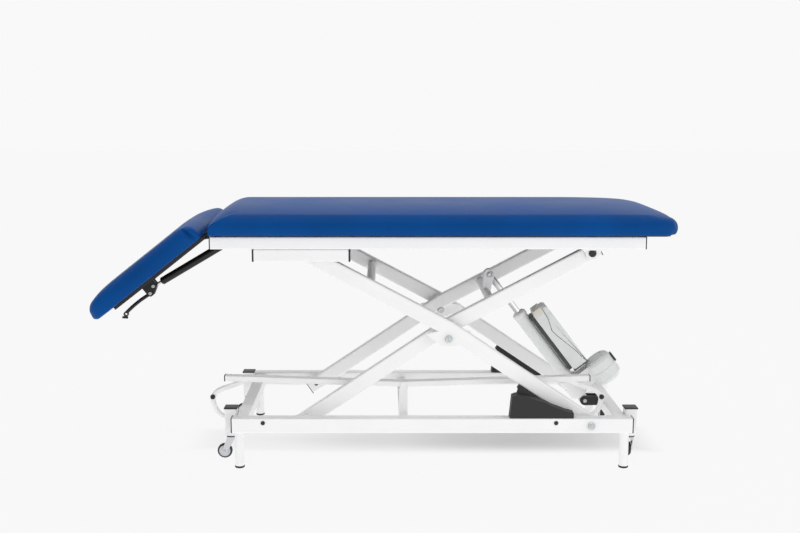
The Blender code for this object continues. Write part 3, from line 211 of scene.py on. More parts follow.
class Finish(Nodes):
    """A material round one principled shader."""

    def __init__(self, name, metallic=0.0):
        super().__init__(bpy.data.materials.new(name))
        self.shader = self.tree.nodes["Principled BSDF"]
        self.set("Metallic", metallic)

    def set(self, name, value):
        self.feed(self.shader.inputs[name], value)

    def place(self, stretch=(1, 1, 1)):
        """Object coordinates, stretched along the axes."""
        where = self.node("ShaderNodeTexCoord", output="Object")
        if tuple(stretch) == (1, 1, 1):
            return where
        return self.node("ShaderNodeMapping", None, {"Vector": where, "Scale": stretch})

    def axis(self, letter):
        return self.node("ShaderNodeSeparateXYZ", None, {"Vector": self.place()}, letter)

    def noise(self, scale, detail=2.0, stretch=(1, 1, 1)):
        sockets = {"Vector": self.place(stretch), "Scale": scale, "Detail": detail}
        return self.node("ShaderNodeTexNoise", None, sockets)

    def cells(self, scale, feature="F1", stretch=(1, 1, 1)):
        sockets = {"Vector": self.place(stretch), "Scale": scale}
        return self.node("ShaderNodeTexVoronoi", {"feature": feature}, sockets, "Distance")

    def mix(self, amount, first, second):
        """A colour between two colours."""
        made = self.tree.nodes.new("ShaderNodeMix")
        made.data_type = "RGBA"
        self.feed(made.inputs[0], amount)
        for socket, colour in ((made.inputs[6], first), (made.inputs[7], second)):
            self.feed(socket, colour if isinstance(colour, Value) else (*colour, 1.0))
        return Value(self, made.outputs[2])

    def relief(self, height, depth, strength):
        """Feeds a height between 0 and 1 to the surface as a bump of that depth in metres."""
        sockets = {"Height": height, "Distance": depth, "Strength": strength}
        self.set("Normal", self.node("ShaderNodeBump", None, sockets))

    def skin(self, grain, smooth, rough, depth, strength=0.5, marks=None):
        """Takes the roughness and the bump from one grain, with marks that add to the roughness."""
        level = grain.ramp(0.3, 0.7, smooth, rough)
        self.set("Roughness", level + marks if marks else level)
        self.relief(grain, depth, strength)


def shade(colour, factor):
    return tuple(min(1.0, channel * factor) for channel in colour)


def vinyl_finish(colour):
    """Upholstery vinyl: pebbled grain with fine pores, and a faint cloudiness."""
    finish = Finish("pebbled_vinyl")
    finish.set("Specular IOR Level", 0.065)
    pebble = finish.cells(620.0, "SMOOTH_F1", (1.0, 1.25, 1.0))
    pores = finish.noise(2100.0, 2.0)
    cloud = finish.noise(5.0, 3.0)
    finish.set("Base Color", finish.mix(cloud.ramp(0.25, 0.75), shade(colour, 0.90), shade(colour, 1.10)))
    finish.set("Roughness", cloud.ramp(0.2, 0.8, 0.36, 0.43) + pores * 0.05)
    finish.relief(pebble * 0.75 + pores * 0.25, 0.00012, 0.55)


def powder_coat_finish(colour):
    """Sprayed powder coat: orange peel, and a little dust low down on the frame."""
    finish = Finish("powder_coat")
    peel = finish.noise(420.0, 2.0)
    cloud = finish.noise(7.0, 2.0)
    dust = finish.axis("Z").ramp(0.0, 0.25, 0.5, 0.0) * finish.noise(38.0, 4.0).ramp(0.45, 0.75)
    clean = finish.mix(cloud.ramp(0.3, 0.7), shade(colour, 0.985), shade(colour, 1.012))
    finish.set("Base Color", finish.mix(dust, clean, shade(colour, 0.93)))
    finish.skin(peel, 0.30, 0.38, 0.00006, marks=dust * 0.15)


def bracketed_paint_finish(colour, black, edge):
    """The right end beam: powder coat with its actuator bracket painted black."""
    finish = Finish("bracketed_powder_coat")
    peel = finish.noise(420.0, 2.0)
    bracket = finish.axis("X").ramp(edge - PAINT_BLUR, edge + PAINT_BLUR, 1.0, 0.0)
    finish.set("Base Color", finish.mix(bracket, colour, shade(black, 1.2)))
    finish.skin(peel, 0.30, 0.38, 0.00006, marks=bracket * 0.10)


def black_moulding_finish(colour, name="black_moulding", rough=0.46, grain=900.0, depth=0.00008):
    """Moulded black plastic or rubber with a spark-eroded grain and pale scuffs."""
    finish = Finish(name)
    spark = finish.noise(grain, 3.0)
    scuff = finish.noise(65.0, 5.0, (1.0, 1.0, 2.6)).ramp(0.60, 0.74)
    finish.set("Base Color", finish.mix(scuff * 0.35, colour, shade(colour, 3.0)))
    finish.skin(spark, rough - 0.05, rough + 0.07, depth, 0.6, scuff * 0.08)


def black_steel_finish(colour):
    """Black powder coat on the head pan, the spring and the lever."""
    finish = Finish("satin_black_steel")
    peel = finish.noise(520.0, 2.0)
    rub = finish.noise(48.0, 4.0).ramp(0.62, 0.78)
    finish.set("Base Color", finish.mix(rub * 0.3, shade(colour, 0.9), shade(colour, 3.2)))
    finish.skin(peel, 0.32, 0.42, 0.00005)


def zinc_finish():
    """Bright zinc plate with a bluish bloom."""
    finish = Finish("zinc_plate", metallic=1.0)
    bloom = finish.noise(150.0, 3.0)
    spangle = finish.cells(260.0)
    finish.set("Base Color", finish.mix(bloom.ramp(0.3, 0.7), (0.52, 0.56, 0.57), (0.66, 0.69, 0.70)))
    finish.set("Roughness", spangle.ramp(0.1, 0.7, 0.26, 0.40))
    finish.relief(bloom, 0.00004, 0.4)


def bright_steel_finish():
    """Ground and chromed steel of the rods and castor forks."""
    finish = Finish("bright_steel", metallic=1.0)
    lines = finish.noise(1400.0, 2.0, (1.0, 0.15, 1.0))
    finish.set("Base Color", finish.mix(lines, (0.60, 0.61, 0.62), (0.74, 0.75, 0.76)))
    finish.skin(lines, 0.16, 0.26, 0.00002, 0.35)


def drive_housing_finish(colour, name="drive_housing"):
    """Pale moulded plastic of the actuator and its control box."""
    finish = Finish(name)
    spark = finish.noise(1100.0, 3.0)
    cloud = finish.noise(11.0, 2.0)
    finish.set("Base Color", finish.mix(cloud.ramp(0.3, 0.7), shade(colour, 0.97), shade(colour, 1.03)))
    finish.skin(spark, 0.40, 0.52, 0.00006)


def castor_wheel_finish(centre, axle, name):
    """Castor wheel: a pale nylon disc inside a thin dark tyre, told apart by the distance from its axle."""
    finish = Finish(name)
    kind = "ShaderNodeVectorMath"
    where = finish.node(kind, {"operation": "SUBTRACT"}, {0: finish.place(), 1: tuple(centre)})
    across = finish.node(kind, {"operation": "CROSS_PRODUCT"}, {0: where, 1: tuple(axle)})
    radius = finish.node(kind, {"operation": "LENGTH"}, {0: across}, "Value")
    tyre = radius.ramp(TYRE_RADIUS - PAINT_BLUR, TYRE_RADIUS + PAINT_BLUR)
    grain = finish.noise(800.0, 3.0)
    finish.set("Base Color", finish.mix(tyre, (0.58, 0.59, 0.62), (0.013, 0.014, 0.020)))
    finish.skin(grain, 0.38, 0.50, 0.00007, marks=tyre * 0.18)


def floor_finish():
    """White studio floor: a painted shadow in a strip under the couch, darkest towards its right end, and the
    backdrop's white elsewhere.
    """
    finish = Finish("studio_floor")
    finish.set("Roughness", 0.6)
    grain = finish.noise(3.0, 2.0)
    finish.set("Base Color", finish.mix(grain, (0.88, 0.88, 0.885), (0.90, 0.90, 0.90)))
    glow = finish.node("ShaderNodeEmission", None, {"Color": (1, 1, 1, 1), "Strength": BACKDROP})
    # Painted shadow: in a strip under the couch, and more towards its right end, less of the glow is mixed in,
    # so the floor's own darker shading shows there
    along, across = finish.axis("X"), finish.axis("Y")
    middle, slimness, breadth, cover = 0.40, 0.11, 0.030, 0.97
    spread = (along - middle) * slimness
    clear = (spread * spread + across * across).ramp(0.0, breadth)
    clear = clear.larger(along.ramp(0.80, 1.0)).larger(along.ramp(-0.70, -0.40, 1.0, 0.0))
    core = along.ramp(-0.5, 0.65, 0.62, 0.0)
    amount = finish.looked_at() * (clear.ramp(0.0, 1.0, 1.0, 0.0) * core + clear * cover)
    shader = Value(finish, finish.shader.outputs[0])
    mixed = finish.node("ShaderNodeMixShader", None, {0: amount, 1: shader, 2: glow})
    scattered = finish.node("ShaderNodeLightPath", output="Is Diffuse Ray")
    bounce = finish.node("ShaderNodeEmission", None, {"Color": (1, 1, 1, 1), "Strength": FLOOR_BOUNCE})
    lit = finish.node("ShaderNodeMixShader", None, {0: scattered, 1: mixed, 2: bounce})
    finish.feed(finish.tree.nodes["Material Output"].inputs["Surface"], lit)


def dress(piece, material_name):
    piece.data.materials.clear()
    piece.data.materials.append(bpy.data.materials[material_name])


def deselect():
    if bpy.context.mode != "OBJECT":
        bpy.ops.object.mode_set(mode="OBJECT")
    bpy.ops.object.select_all(action="DESELECT")


def activate(piece):
    deselect()
    piece.select_set(True)
    bpy.context.view_layer.objects.active = piece


def take_new(name):
    """Names the object that was just added, and moves its place, turn and size into its mesh."""
    piece = bpy.context.active_object
    piece.name = name
    activate(piece)
    bpy.ops.object.transform_apply(location=True, rotation=True, scale=True)
    return piece


def facing(axis):
    """The turn that lays a primitive's own axis along the wanted one."""
    return Vector(axis).to_track_quat("Z", "Y").to_euler()


def start_block(name, low, high):
    """A block between two corners."""
    deselect()
    low, high = Vector(low), Vector(high)
    bpy.ops.mesh.primitive_cube_add(size=1, location=(low + high) / 2, scale=high - low)
    return take_new(name)


def start_round(name, centre, axis, radius, depth, corners=28):
    """A round or many-sided bar about an axis."""
    deselect()
    bpy.ops.mesh.primitive_cylinder_add(
        vertices=corners, radius=radius, depth=depth, location=Vector(centre), rotation=facing(axis))
    return take_new(name)


def start_outline(name, points, depth):
    """A flat outline drawn out by the depth vector."""
    deselect()
    bpy.ops.mesh.primitive_circle_add(vertices=len(points), radius=1, fill_type="NGON")
    piece = take_new(name)
    write_points(piece, np.array([tuple(point) for point in points], float))
    bpy.ops.object.mode_set(mode="EDIT")
    bpy.ops.mesh.select_all(action="SELECT")
    bpy.ops.mesh.extrude_region_move(TRANSFORM_OT_translate={"value": tuple(depth)})
    bpy.ops.mesh.select_all(action="SELECT")
    bpy.ops.mesh.normals_make_consistent(inside=False)
    stop_editing()
    return piece


def start_ring(name, centre, axis, radius, thick):
    """A ring about an axis, such as a weld bead."""
    deselect()
    bpy.ops.mesh.primitive_torus_add(
        major_radius=radius, minor_radius=thick / 2, major_segments=32, minor_segments=10,
        location=Vector(centre), rotation=facing(axis))
    piece = take_new(name)
    bpy.ops.object.shade_smooth()
    return piece


def pick(piece, kind, wanted):
    """Goes to edit mode with only the wanted faces or edges selected."""
    activate(piece)
    bpy.ops.object.mode_set(mode="EDIT")
    bpy.ops.mesh.select_mode(type=kind)
    bpy.ops.mesh.select_all(action="DESELECT")
    mesh = bmesh.from_edit_mesh(piece.data)
    for item in mesh.faces if kind == "FACE" else mesh.edges:
        item.select_set(bool(wanted(item)))
    bmesh.update_edit_mesh(piece.data)


def pick_faces_towards(piece, direction):
    pick(piece, "FACE", lambda face: face.normal.dot(direction) > SAME_WAY)


def stop_editing():
    bpy.ops.object.mode_set(mode="OBJECT")


def round_edges(piece, wanted, radius, segments):
    pick(piece, "EDGE", wanted)
    bpy.ops.mesh.bevel(offset=radius, segments=segments, profile=0.5)
    stop_editing()


def step_face(piece, direction, border, step):
    """Insets the faces that look in a direction by a border, and moves their middle out by a step."""
    direction = Vector(direction)
    pick_faces_towards(piece, direction)
    bpy.ops.mesh.inset(thickness=border, depth=0.0)
    bpy.ops.transform.translate(value=direction * step)
    stop_editing()
    return piece


def apply_modifier(piece, kind, **settings):
    activate(piece)
    modifier = piece.modifiers.new(kind.lower(), kind)
    for key, value in settings.items():
        setattr(modifier, key, value)
    bpy.ops.object.modifier_apply(modifier=modifier.name)


def soften(piece, width, segments=2):
    """Rounds the sharp edges, merges points that fall together, and smooths the shading."""
    apply_modifier(piece, "BEVEL", width=width, segments=segments, limit_method="ANGLE",
                   angle_limit=math.radians(30))
    activate(piece)
    bpy.ops.object.mode_set(mode="EDIT")
    bpy.ops.mesh.select_all(action="SELECT")
    bpy.ops.mesh.remove_doubles(threshold=0.00002)
    stop_editing()
    activate(piece)
    bpy.ops.object.shade_smooth_by_angle(angle=math.radians(40))
    return piece


def fit_out(piece, look, body):
    material_name, slot = look
    dress(piece, material_name)
    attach(piece, body)
    return piece


def about_hinge(angle):
    return Matrix.Translation(HEAD_HINGE) @ Matrix.Rotation(angle, 4, "Y") @ Matrix.Translation(-HEAD_HINGE)


def turn_with_head(piece):
    """Tilts a piece that was modelled with the head section level."""
    piece.data.transform(about_hinge(HEAD_TILT))
    piece.data.update()


def level_box(node):
    """A head node's box with the head section turned back to level."""
    turn = about_hinge(-HEAD_TILT)
    points = np.array([turn @ vertex.co for vertex in NODES[node].data.vertices])
    return Vector(points.min(0)), Vector(points.max(0))


def arm_place(start, pivot):
    """The place and turn of a piece modelled along X, laid from a start on the arm's line through a pivot."""
    along = (pivot - ARM_APEX).normalized()
    return Matrix.Translation(start) @ Matrix.Rotation(math.atan2(-along.z, along.x), 4, "Y")


def read_points(piece):
    points = np.zeros(len(piece.data.vertices) * 3)
    piece.data.vertices.foreach_get("co", points)
    return points.reshape(-1, 3)


def write_points(piece, points):
    piece.data.vertices.foreach_set("co", points.ravel())
    piece.data.update()


def upholstered_block(name, low, high, square, corner, padding, seam):
    """A padded block with soft edges, cut off square at its left (-1) or right (1) end, in a fine mesh."""
    spare = Vector((0.10, 0, 0))
    block = start_block(name, low - spare, high) if square < 0 else start_block(name, low, high + spare)
    sharp = lambda edge: edge.calc_face_angle(0) > SHARP_CORNER
    upright = lambda edge: abs(edge.verts[0].co.z - edge.verts[1].co.z) > 0.01
    round_edges(block, lambda e: sharp(e) and upright(e), corner, 8)
    for level, radius, segments in ((high.z, padding.edge, 7), (low.z, 0.004, 2)):
        at_level = lambda edge: all(abs(vertex.co.z - level) < SAME_PLACE for vertex in edge.verts)
        round_edges(block, lambda e: sharp(e) and at_level(e), radius, segments)
    end = low.x if square < 0 else high.x
    pick(block, "FACE", lambda face: True)
    bpy.ops.mesh.bisect(plane_co=(end, 0, 0), plane_no=(square, 0, 0), use_fill=True, clear_outer=True)
    stop_editing()
    at_end = lambda edge: all(abs(vertex.co.x - end) < SAME_PLACE for vertex in edge.verts)
    round_edges(block, lambda e: sharp(e) and at_end(e), seam, 3)
    apply_modifier(block, "REMESH", mode="VOXEL", voxel_size=padding.voxel, use_smooth_shade=True)
    apply_modifier(block, "SMOOTH", factor=0.5, iterations=2)
    return block


def fill_with_foam(block, padding, seat):
    """Lets cloth swell under pressure, holds the underside flat, and limits how far the vinyl moves."""
    if padding.pressure == 0:
        return
    rest = read_points(block)
    strip, steps = 0.006, 9
    held = block.vertex_groups.new(name="stapled")
    held.add([int(i) for i in np.nonzero(rest[:, 2] < seat + strip)[0]], 1.0, "REPLACE")
    activate(block)
    modifier = block.modifiers.new("filling", "CLOTH")
    settings = {"quality": 4, "use_pressure": True, "uniform_pressure_force": padding.pressure,
                "tension_stiffness": 25.0, "compression_stiffness": 25.0, "bending_stiffness": 2.0,
                "vertex_group_mass": "stapled"}
    for key, value in settings.items():
        setattr(modifier.settings, key, value)
    modifier.settings.effector_weights.gravity = 0.0
    modifier.point_cache.frame_start = 1
    modifier.point_cache.frame_end = steps
    for step in range(1, steps + 1):
        bpy.context.scene.frame_set(step)
    bpy.ops.object.modifier_apply(modifier=modifier.name)
    bpy.context.scene.frame_set(1)
    shift = read_points(block) - rest
    length = np.maximum(np.linalg.norm(shift, axis=1, keepdims=True), 1e-9)
    write_points(block, rest + shift * np.minimum(1.0, padding.swell / length))
    block.vertex_groups.clear()
    apply_modifier(block, "SMOOTH", factor=0.5, iterations=2)


def cushion_places(points, low, high):
    """Each point's place: along and across from -1 to 1, and its rise from the seat to the top edge."""
    places = (points - np.array((low + high) / 2)) / np.array((high - low) / 2)
    return places[:, 0], places[:, 1], (points[:, 2] - low.z) / (high.z - low.z)


def roll_and_crown(points, low, high, square, length, drop, crown, fade):
    """Rolls the top down towards the square end, mitred at the side rolls, and lifts its middle."""
    top = high.z - low.z
    end = low.x if square < 0 else high.x
    roof = top - drop * np.clip(1 - np.abs(points[:, 0] - end) / length, 0, 1) ** 2
    inside = np.minimum(points[:, 1] - low.y, high.y - points[:, 1])
    edge = np.clip(1 - inside / drop, 0, 1)
    flank = top - drop * (1 - np.sqrt(1 - edge ** 2))
    points[:, 2] = low.z + (points[:, 2] - low.z) * np.minimum(1, roof / np.maximum(flank, 0.01))
    along, across, rise = cushion_places(points, low, high)
    rise = np.clip(rise, 0, 1)
    points[:, 2] += crown * rise * (1 - np.abs(across) ** 3) * (1 - np.clip(-square * along, 0, 1) ** fade)
    return across, rise


def nearing(points, end, length):
    """Grows from 0 to 1 over a length up to an end. The length is negative for a left end."""
    return np.clip(1 - (end - points[:, 0]) / length, 0, 1)


def draw_in(points, across, rise):
    """Draws the flanks in above the staples, and gives the side that each point of a flank is on."""
    inward, flank = 0.0035, 0.9
    side = np.sign(across) * (np.abs(across) > flank)
    points[:, 1] -= inward * hump(rise, 0.06, 0.22) * side
    return side


def hump(values, centre, width):
    return np.exp(-(((values - centre) / width) ** 2))


class COUCH_OT_finishes(bpy.types.Operator):
    """Makes every finish of the couch"""
    bl_idname = "couch.finishes"
    bl_label = "Make finishes"

    SOCKET_COLOUR = (0.70, 0.66, 0.59)
    # Dark grey of the joints and the lip, also used as painted shade in the gap below the control box
    SEAL_AND_SHADE_COLOUR = (0.055, 0.065, 0.062)
    # Distance of the right end beam's inner face from the castor post's
    BEAM_FACE = 0.0385

    def execute(self, context):
        colours = context.scene.couch_colours
        paint, black = tuple(colours.paint), tuple(colours.black)
        vinyl_finish(tuple(colours.vinyl))
        powder_coat_finish(paint)
        bracketed_paint_finish(paint, black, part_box("castor_post_near_right")[0].x - self.BEAM_FACE)
        black_moulding_finish(black)
        black_moulding_finish(shade(black, 1.6), "soft_rubber", 0.62, 600.0, 0.00012)
        black_moulding_finish(shade(black, 1.5), "guard_moulding", 0.6, 340.0, 0.00022)
        black_steel_finish(black)
        zinc_finish()
        bright_steel_finish()
        drive_housing_finish(tuple(colours.moulding))
        drive_housing_finish(self.SOCKET_COLOUR, "socket_cream")
        black_moulding_finish(self.SEAL_AND_SHADE_COLOUR, "grey_seal_and_shade", 0.6)
        return {"FINISHED"}


class COUCH_OT_frame_paint(bpy.types.Operator):
    """Paints the CAD pieces of the base, the lift and the top frame"""
    bl_idname = "couch.frame_paint"
    bl_label = "Paint the frame"

    # What isn't named here is powder coated
    GROUPS = {
        "bracketed_powder_coat": ("end_beam_right",),
        "zinc_plate": ("base_pivot_bolt_", "centre_bolt_"),
        "bright_steel": ("castor_fork_", "actuator_rod", "gas_spring_rod"),
        "satin_black_steel": ("head_pan", "gas_spring_cylinder", "release_lever"),
        # The deck board's black is partly its own colour and partly painted shade for the shadow line between
        # the cushion and the rails
        "black_moulding": ("top_pivot_bolt_", "lower_slide_", "upper_slide_", "deck_board"),
        "guard_moulding": ("guard_",),
        "soft_rubber": ("rubber_foot_",),
        "pebbled_vinyl": ("main_cushion", "head_cushion"),
        "drive_housing": ("actuator_body", "control_box"),
    }

    def execute(self, context):
        for name, piece in NODES.items():
            finishes = [finish for finish, starts in self.GROUPS.items() if name.startswith(starts)]
            dress(piece, finishes[0] if finishes else "powder_coat")
        for corner in CORNERS:
            joint = JOINTS[f"castor_spin_{corner}"]
            castor_wheel_finish(joint["pos_m"], joint["axis"], f"castor_wheel_{corner}")
            dress(NODES[f"castor_wheel_{corner}"], f"castor_wheel_{corner}")
        for piece in NODES.values():
            activate(piece)
            bpy.ops.object.shade_smooth_by_angle(angle=math.radians(35))
        return {"FINISHED"}


class COUCH_OT_main_cushion(bpy.types.Operator):
    """Upholsters the main cushion"""
    bl_idname = "couch.main_cushion"
    bl_label = "Main cushion"

    # How far the cover stands past the CAD cushion at the hinge, inside it at the foot, and above it
    HINGE_OVER, FOOT_ROOM, CROWN_OVER = 0.003, 0.001, 0.008

    def execute(self, context):
        padding = context.scene.couch_padding
        low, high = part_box("main_cushion")
        low = low + Vector((-self.HINGE_OVER, SIDE_ROOM, 0.0))
        high = high - Vector((self.FOOT_ROOM, SIDE_ROOM, padding.crown - self.CROWN_OVER))
        cushion = upholstered_block("main_upholstery", low, high, -1, padding.foot_corner, padding,
                                    padding.seam)
        self.shape(cushion, low, high, padding)
        fill_with_foam(cushion, padding, low.z)
        fit_out(cushion, VINYL, "top_frame")
        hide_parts("main_cushion")
        return {"FINISHED"}

    @staticmethod
    def shape(cushion, low, high, padding):
        """Crown, drawn-in flanks, a soft fall at the foot end and folds where the vinyl is stapled."""
        points = read_points(cushion)
        across, rise = roll_and_crown(points, low, high, -1, length=0.070, drop=padding.edge,
                                      crown=padding.crown, fade=8)
        fall, bulge, undercut, gather, groove, ridge = 0.009, 0.0022, 0.010, 0.0007, 0.0030, 0.0015
        points[:, 2] -= fall * rise * nearing(points, high.x, 0.11) ** 2
        side = draw_in(points, across, rise)
        points[:, 1] += bulge * np.sin(np.pi * rise) * side
        under = np.clip(1 - rise / 0.38, 0, 1) ** 2
        points[:, 0] -= undercut * under * nearing(points, high.x, 0.09) ** 2
        for y in (low.y, high.y):
            near = np.exp(-((points[:, 0] - high.x) ** 2 + (points[:, 1] - y) ** 2) / 0.10 ** 2)
            angle = np.arctan2(points[:, 1] - (low.y + high.y) / 2, points[:, 0] - high.x * 0.9)
            points[:, 2] += gather * near * (1 - rise) * np.sin(angle * 60)
        slant = points[:, 0] - low.x - 0.030 - 0.6 * (points[:, 2] - low.z)
        reach = hump(rise, 0.0, 0.30)
        points[:, 1] -= side * groove * hump(slant, 0.0, 0.004) * reach
        points[:, 1] += side * ridge * hump(slant, -0.010, 0.006) * reach
        write_points(cushion, points)


class COUCH_OT_head_cushion(bpy.types.Operator):
    """Upholsters the head section's cushion"""
    bl_idname = "couch.head_cushion"
    bl_label = "Head cushion"

    # How far the cover stands inside the CAD cushion, and above it at the crown
    TIP_ROOM, HINGE_ROOM, CROWN_OVER = 0.007, 0.001, 0.006
    # The crown and the roll, as shares of the main cushion's
    CROWN_SHARE, ROLL_SHARE = 0.4, 0.7

    def execute(self, context):
        padding = context.scene.couch_padding
        low, high = level_box("head_cushion")
        crown = padding.crown * self.CROWN_SHARE
        low = low + Vector((self.TIP_ROOM, SIDE_ROOM, 0.0))
        high = high - Vector((self.HINGE_ROOM, SIDE_ROOM, crown - self.CROWN_OVER))
        cushion = upholstered_block("head_upholstery", low, high, 1, padding.tip_corner, padding,
                                    padding.tuck)
        self.shape(cushion, low, high, padding, crown)
        fill_with_foam(cushion, padding, low.z)
        self.pleat(cushion, low, high)
        turn_with_head(cushion)
        fit_out(cushion, VINYL, "head_section")
        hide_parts("head_cushion")
        return {"FINISHED"}

    def shape(self, cushion, low, high, padding, crown):
        """Crown, drawn-in flanks and a rolled tip with a rounded underside."""
        points = read_points(cushion)
        across, rise = roll_and_crown(points, low, high, 1, length=0.048,
                                      drop=padding.edge * self.ROLL_SHARE, crown=crown, fade=6)
        fall, reach, lean, lift = 0.010, 0.005, 0.009, 0.009
        tip = nearing(points, low.x, -0.10)
        points[:, 2] -= fall * rise * tip ** 2
        points[:, 0] -= (reach - lean * rise) * tip ** 2
        points[:, 2] += lift * (1 - rise) * nearing(points, low.x, -0.018) ** 2
        draw_in(points, across, rise)
        write_points(cushion, points)

    @staticmethod
    def pleat(cushion, low, high):
        """The fold at each corner of the hinge end, where the vinyl is tucked under."""
        points = read_points(cushion)
        _, across, rise = cushion_places(points, low, high)
        groove, ridge = 0.0150, 0.0030
        side = np.sign(across) * np.clip((np.abs(across) - 0.93) / 0.05, 0, 1)
        slant = points[:, 0] - (high.x - 0.014) + 0.35 * (points[:, 2] - low.z)
        reach = hump(rise, 0.60, 0.5)
        points[:, 1] -= side * groove * hump(slant, 0.0, 0.0055) * reach
        points[:, 1] += side * ridge * hump(slant, -0.013, 0.007) * reach
        write_points(cushion, points)


def shape_cap(name, low, high, direction, border=0.004, step=-0.0009):
    """A cap with a sunk middle, or a raised one."""
    return soften(step_face(start_block(name, low, high), direction, border, step), 0.0010)


def make_plug(name, centre, direction, radius, height, look, body, corners=28, dish=0.45):
    """A round plug or a hexagon head: a flange, a dished middle and soft edges."""
    direction = Vector(direction).normalized()
    rim, sink, ridge, lift = 0.8, 0.35, 0.25, 0.2
    plug = start_round(name, Vector(centre) + direction * height / 2, direction, radius, height, corners)
    pick_faces_towards(plug, direction)
    bpy.ops.mesh.inset(thickness=radius * (1 - dish) * rim, depth=0.0)
    bpy.ops.transform.translate(value=-direction * height * sink)
    bpy.ops.mesh.inset(thickness=radius * dish * ridge, depth=0.0)
    bpy.ops.transform.translate(value=direction * height * lift)
    stop_editing()
    soften(plug, min(0.0009, height * 0.25))
    return fit_out(plug, look, body)


class COUCH_OT_end_caps(bpy.types.Operator):
    """Caps the open ends of the rails, channels, arms, posts and the foot bar"""
    bl_idname = "couch.end_caps"
    bl_label = "End caps"

    # Half the arms' section, and how far an arm runs on past its pivots
    ARM_SECTION, ARM_END = Vector((0, 0.015, 0.025)), 0.028
    POST_CAP_HEIGHT, POST_CAP_SKIN = 0.0036, Vector((0.0003, 0.0003, 0.0004))
    # The foot bar's tube, and how far its loops reach past the tube's ends
    FOOT_TUBE, LOOP_REACH = 0.020, 0.053

    def execute(self, context):
        proud = context.scene.couch_trim.cap
        for side in SIDES:
            for end, way in ENDS.items():
                self.tube_cap(f"base_cap_{side}_{end}", *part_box(f"base_rail_{side}"), way, proud, "base")
                self.tube_cap(f"channel_cap_{side}_{end}", *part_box(f"guide_channel_{side}"), way, proud * 1.5,
                              "top_frame")
                self.tube_cap(f"top_cap_{side}_{end}", *self.rail_box(side), way, proud, "top_frame")
                self.post_cap(f"{side}_{end}")
            for arm, *pivots in (("outer", "upper_slide", "lift"), ("inner", "lower_slide", "top_level")):
                self.arm_caps(f"{arm}_arm_{side}", pivots, f"{arm}_arms", SIDES[side], proud * 0.75)
        low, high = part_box("foot_bar")
        tube_low = Vector((low.x + self.LOOP_REACH, low.y, high.z - self.FOOT_TUBE))
        tube_high = Vector((high.x - self.LOOP_REACH, high.y, high.z))
        for end, way in ENDS.items():
            self.tube_cap(f"foot_bar_cap_{end}", tube_low, tube_high, way, proud, "foot_bar", border=0.003)
        return {"FINISHED"}

    @staticmethod
    def rail_box(side):
        """The top rails carry brackets, so their section comes from the channels and the cross tubes."""
        rail_low, rail_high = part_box(f"top_rail_{side}")
        channel_low, channel_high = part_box(f"guide_channel_{side}")
        cross_low, cross_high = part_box("top_cross_tube_right")
        return (Vector((rail_low.x, channel_low.y, cross_low.z)),
                Vector((rail_high.x, channel_high.y, cross_high.z)))

    @staticmethod
    def tube_cap(name, low, high, way, proud, body, **shape):
        face = high.x if way > 0 else low.x
        left, right = sorted((face, face + way * proud))
        cap = shape_cap(name, (left, low.y, low.z), (right, high.y, high.z), (way, 0, 0), **shape)
        fit_out(cap, BLACK, body)

    def arm_caps(self, arm, pivots, body, way, proud):
        """Caps in both ends of a cranked arm, square to each half of it."""
        middle = Vector((0, ARM_Y[body] * way, 0))
        for tag, joint in zip(ENDS, pivots):
            pivot = Vector(JOINTS[joint]["pos_m"])
            start = pivot + self.ARM_END * (pivot - ARM_APEX).normalized()
            cap = shape_cap(f"{arm}_cap_{tag}", middle - self.ARM_SECTION,
                            middle + self.ARM_SECTION + Vector((proud, 0, 0)), (1, 0, 0))
            cap.data.transform(arm_place(start, pivot))
            fit_out(cap, BLACK, body)

    def post_cap(self, corner):
        low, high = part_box(f"castor_post_{corner}")
        low.z = high.z - self.POST_CAP_HEIGHT
        cap = shape_cap(f"post_cap_{corner}", low - self.POST_CAP_SKIN, high + self.POST_CAP_SKIN, UP,
                        border=0.006, step=0.0006)
        fit_out(cap, BLACK, "base")


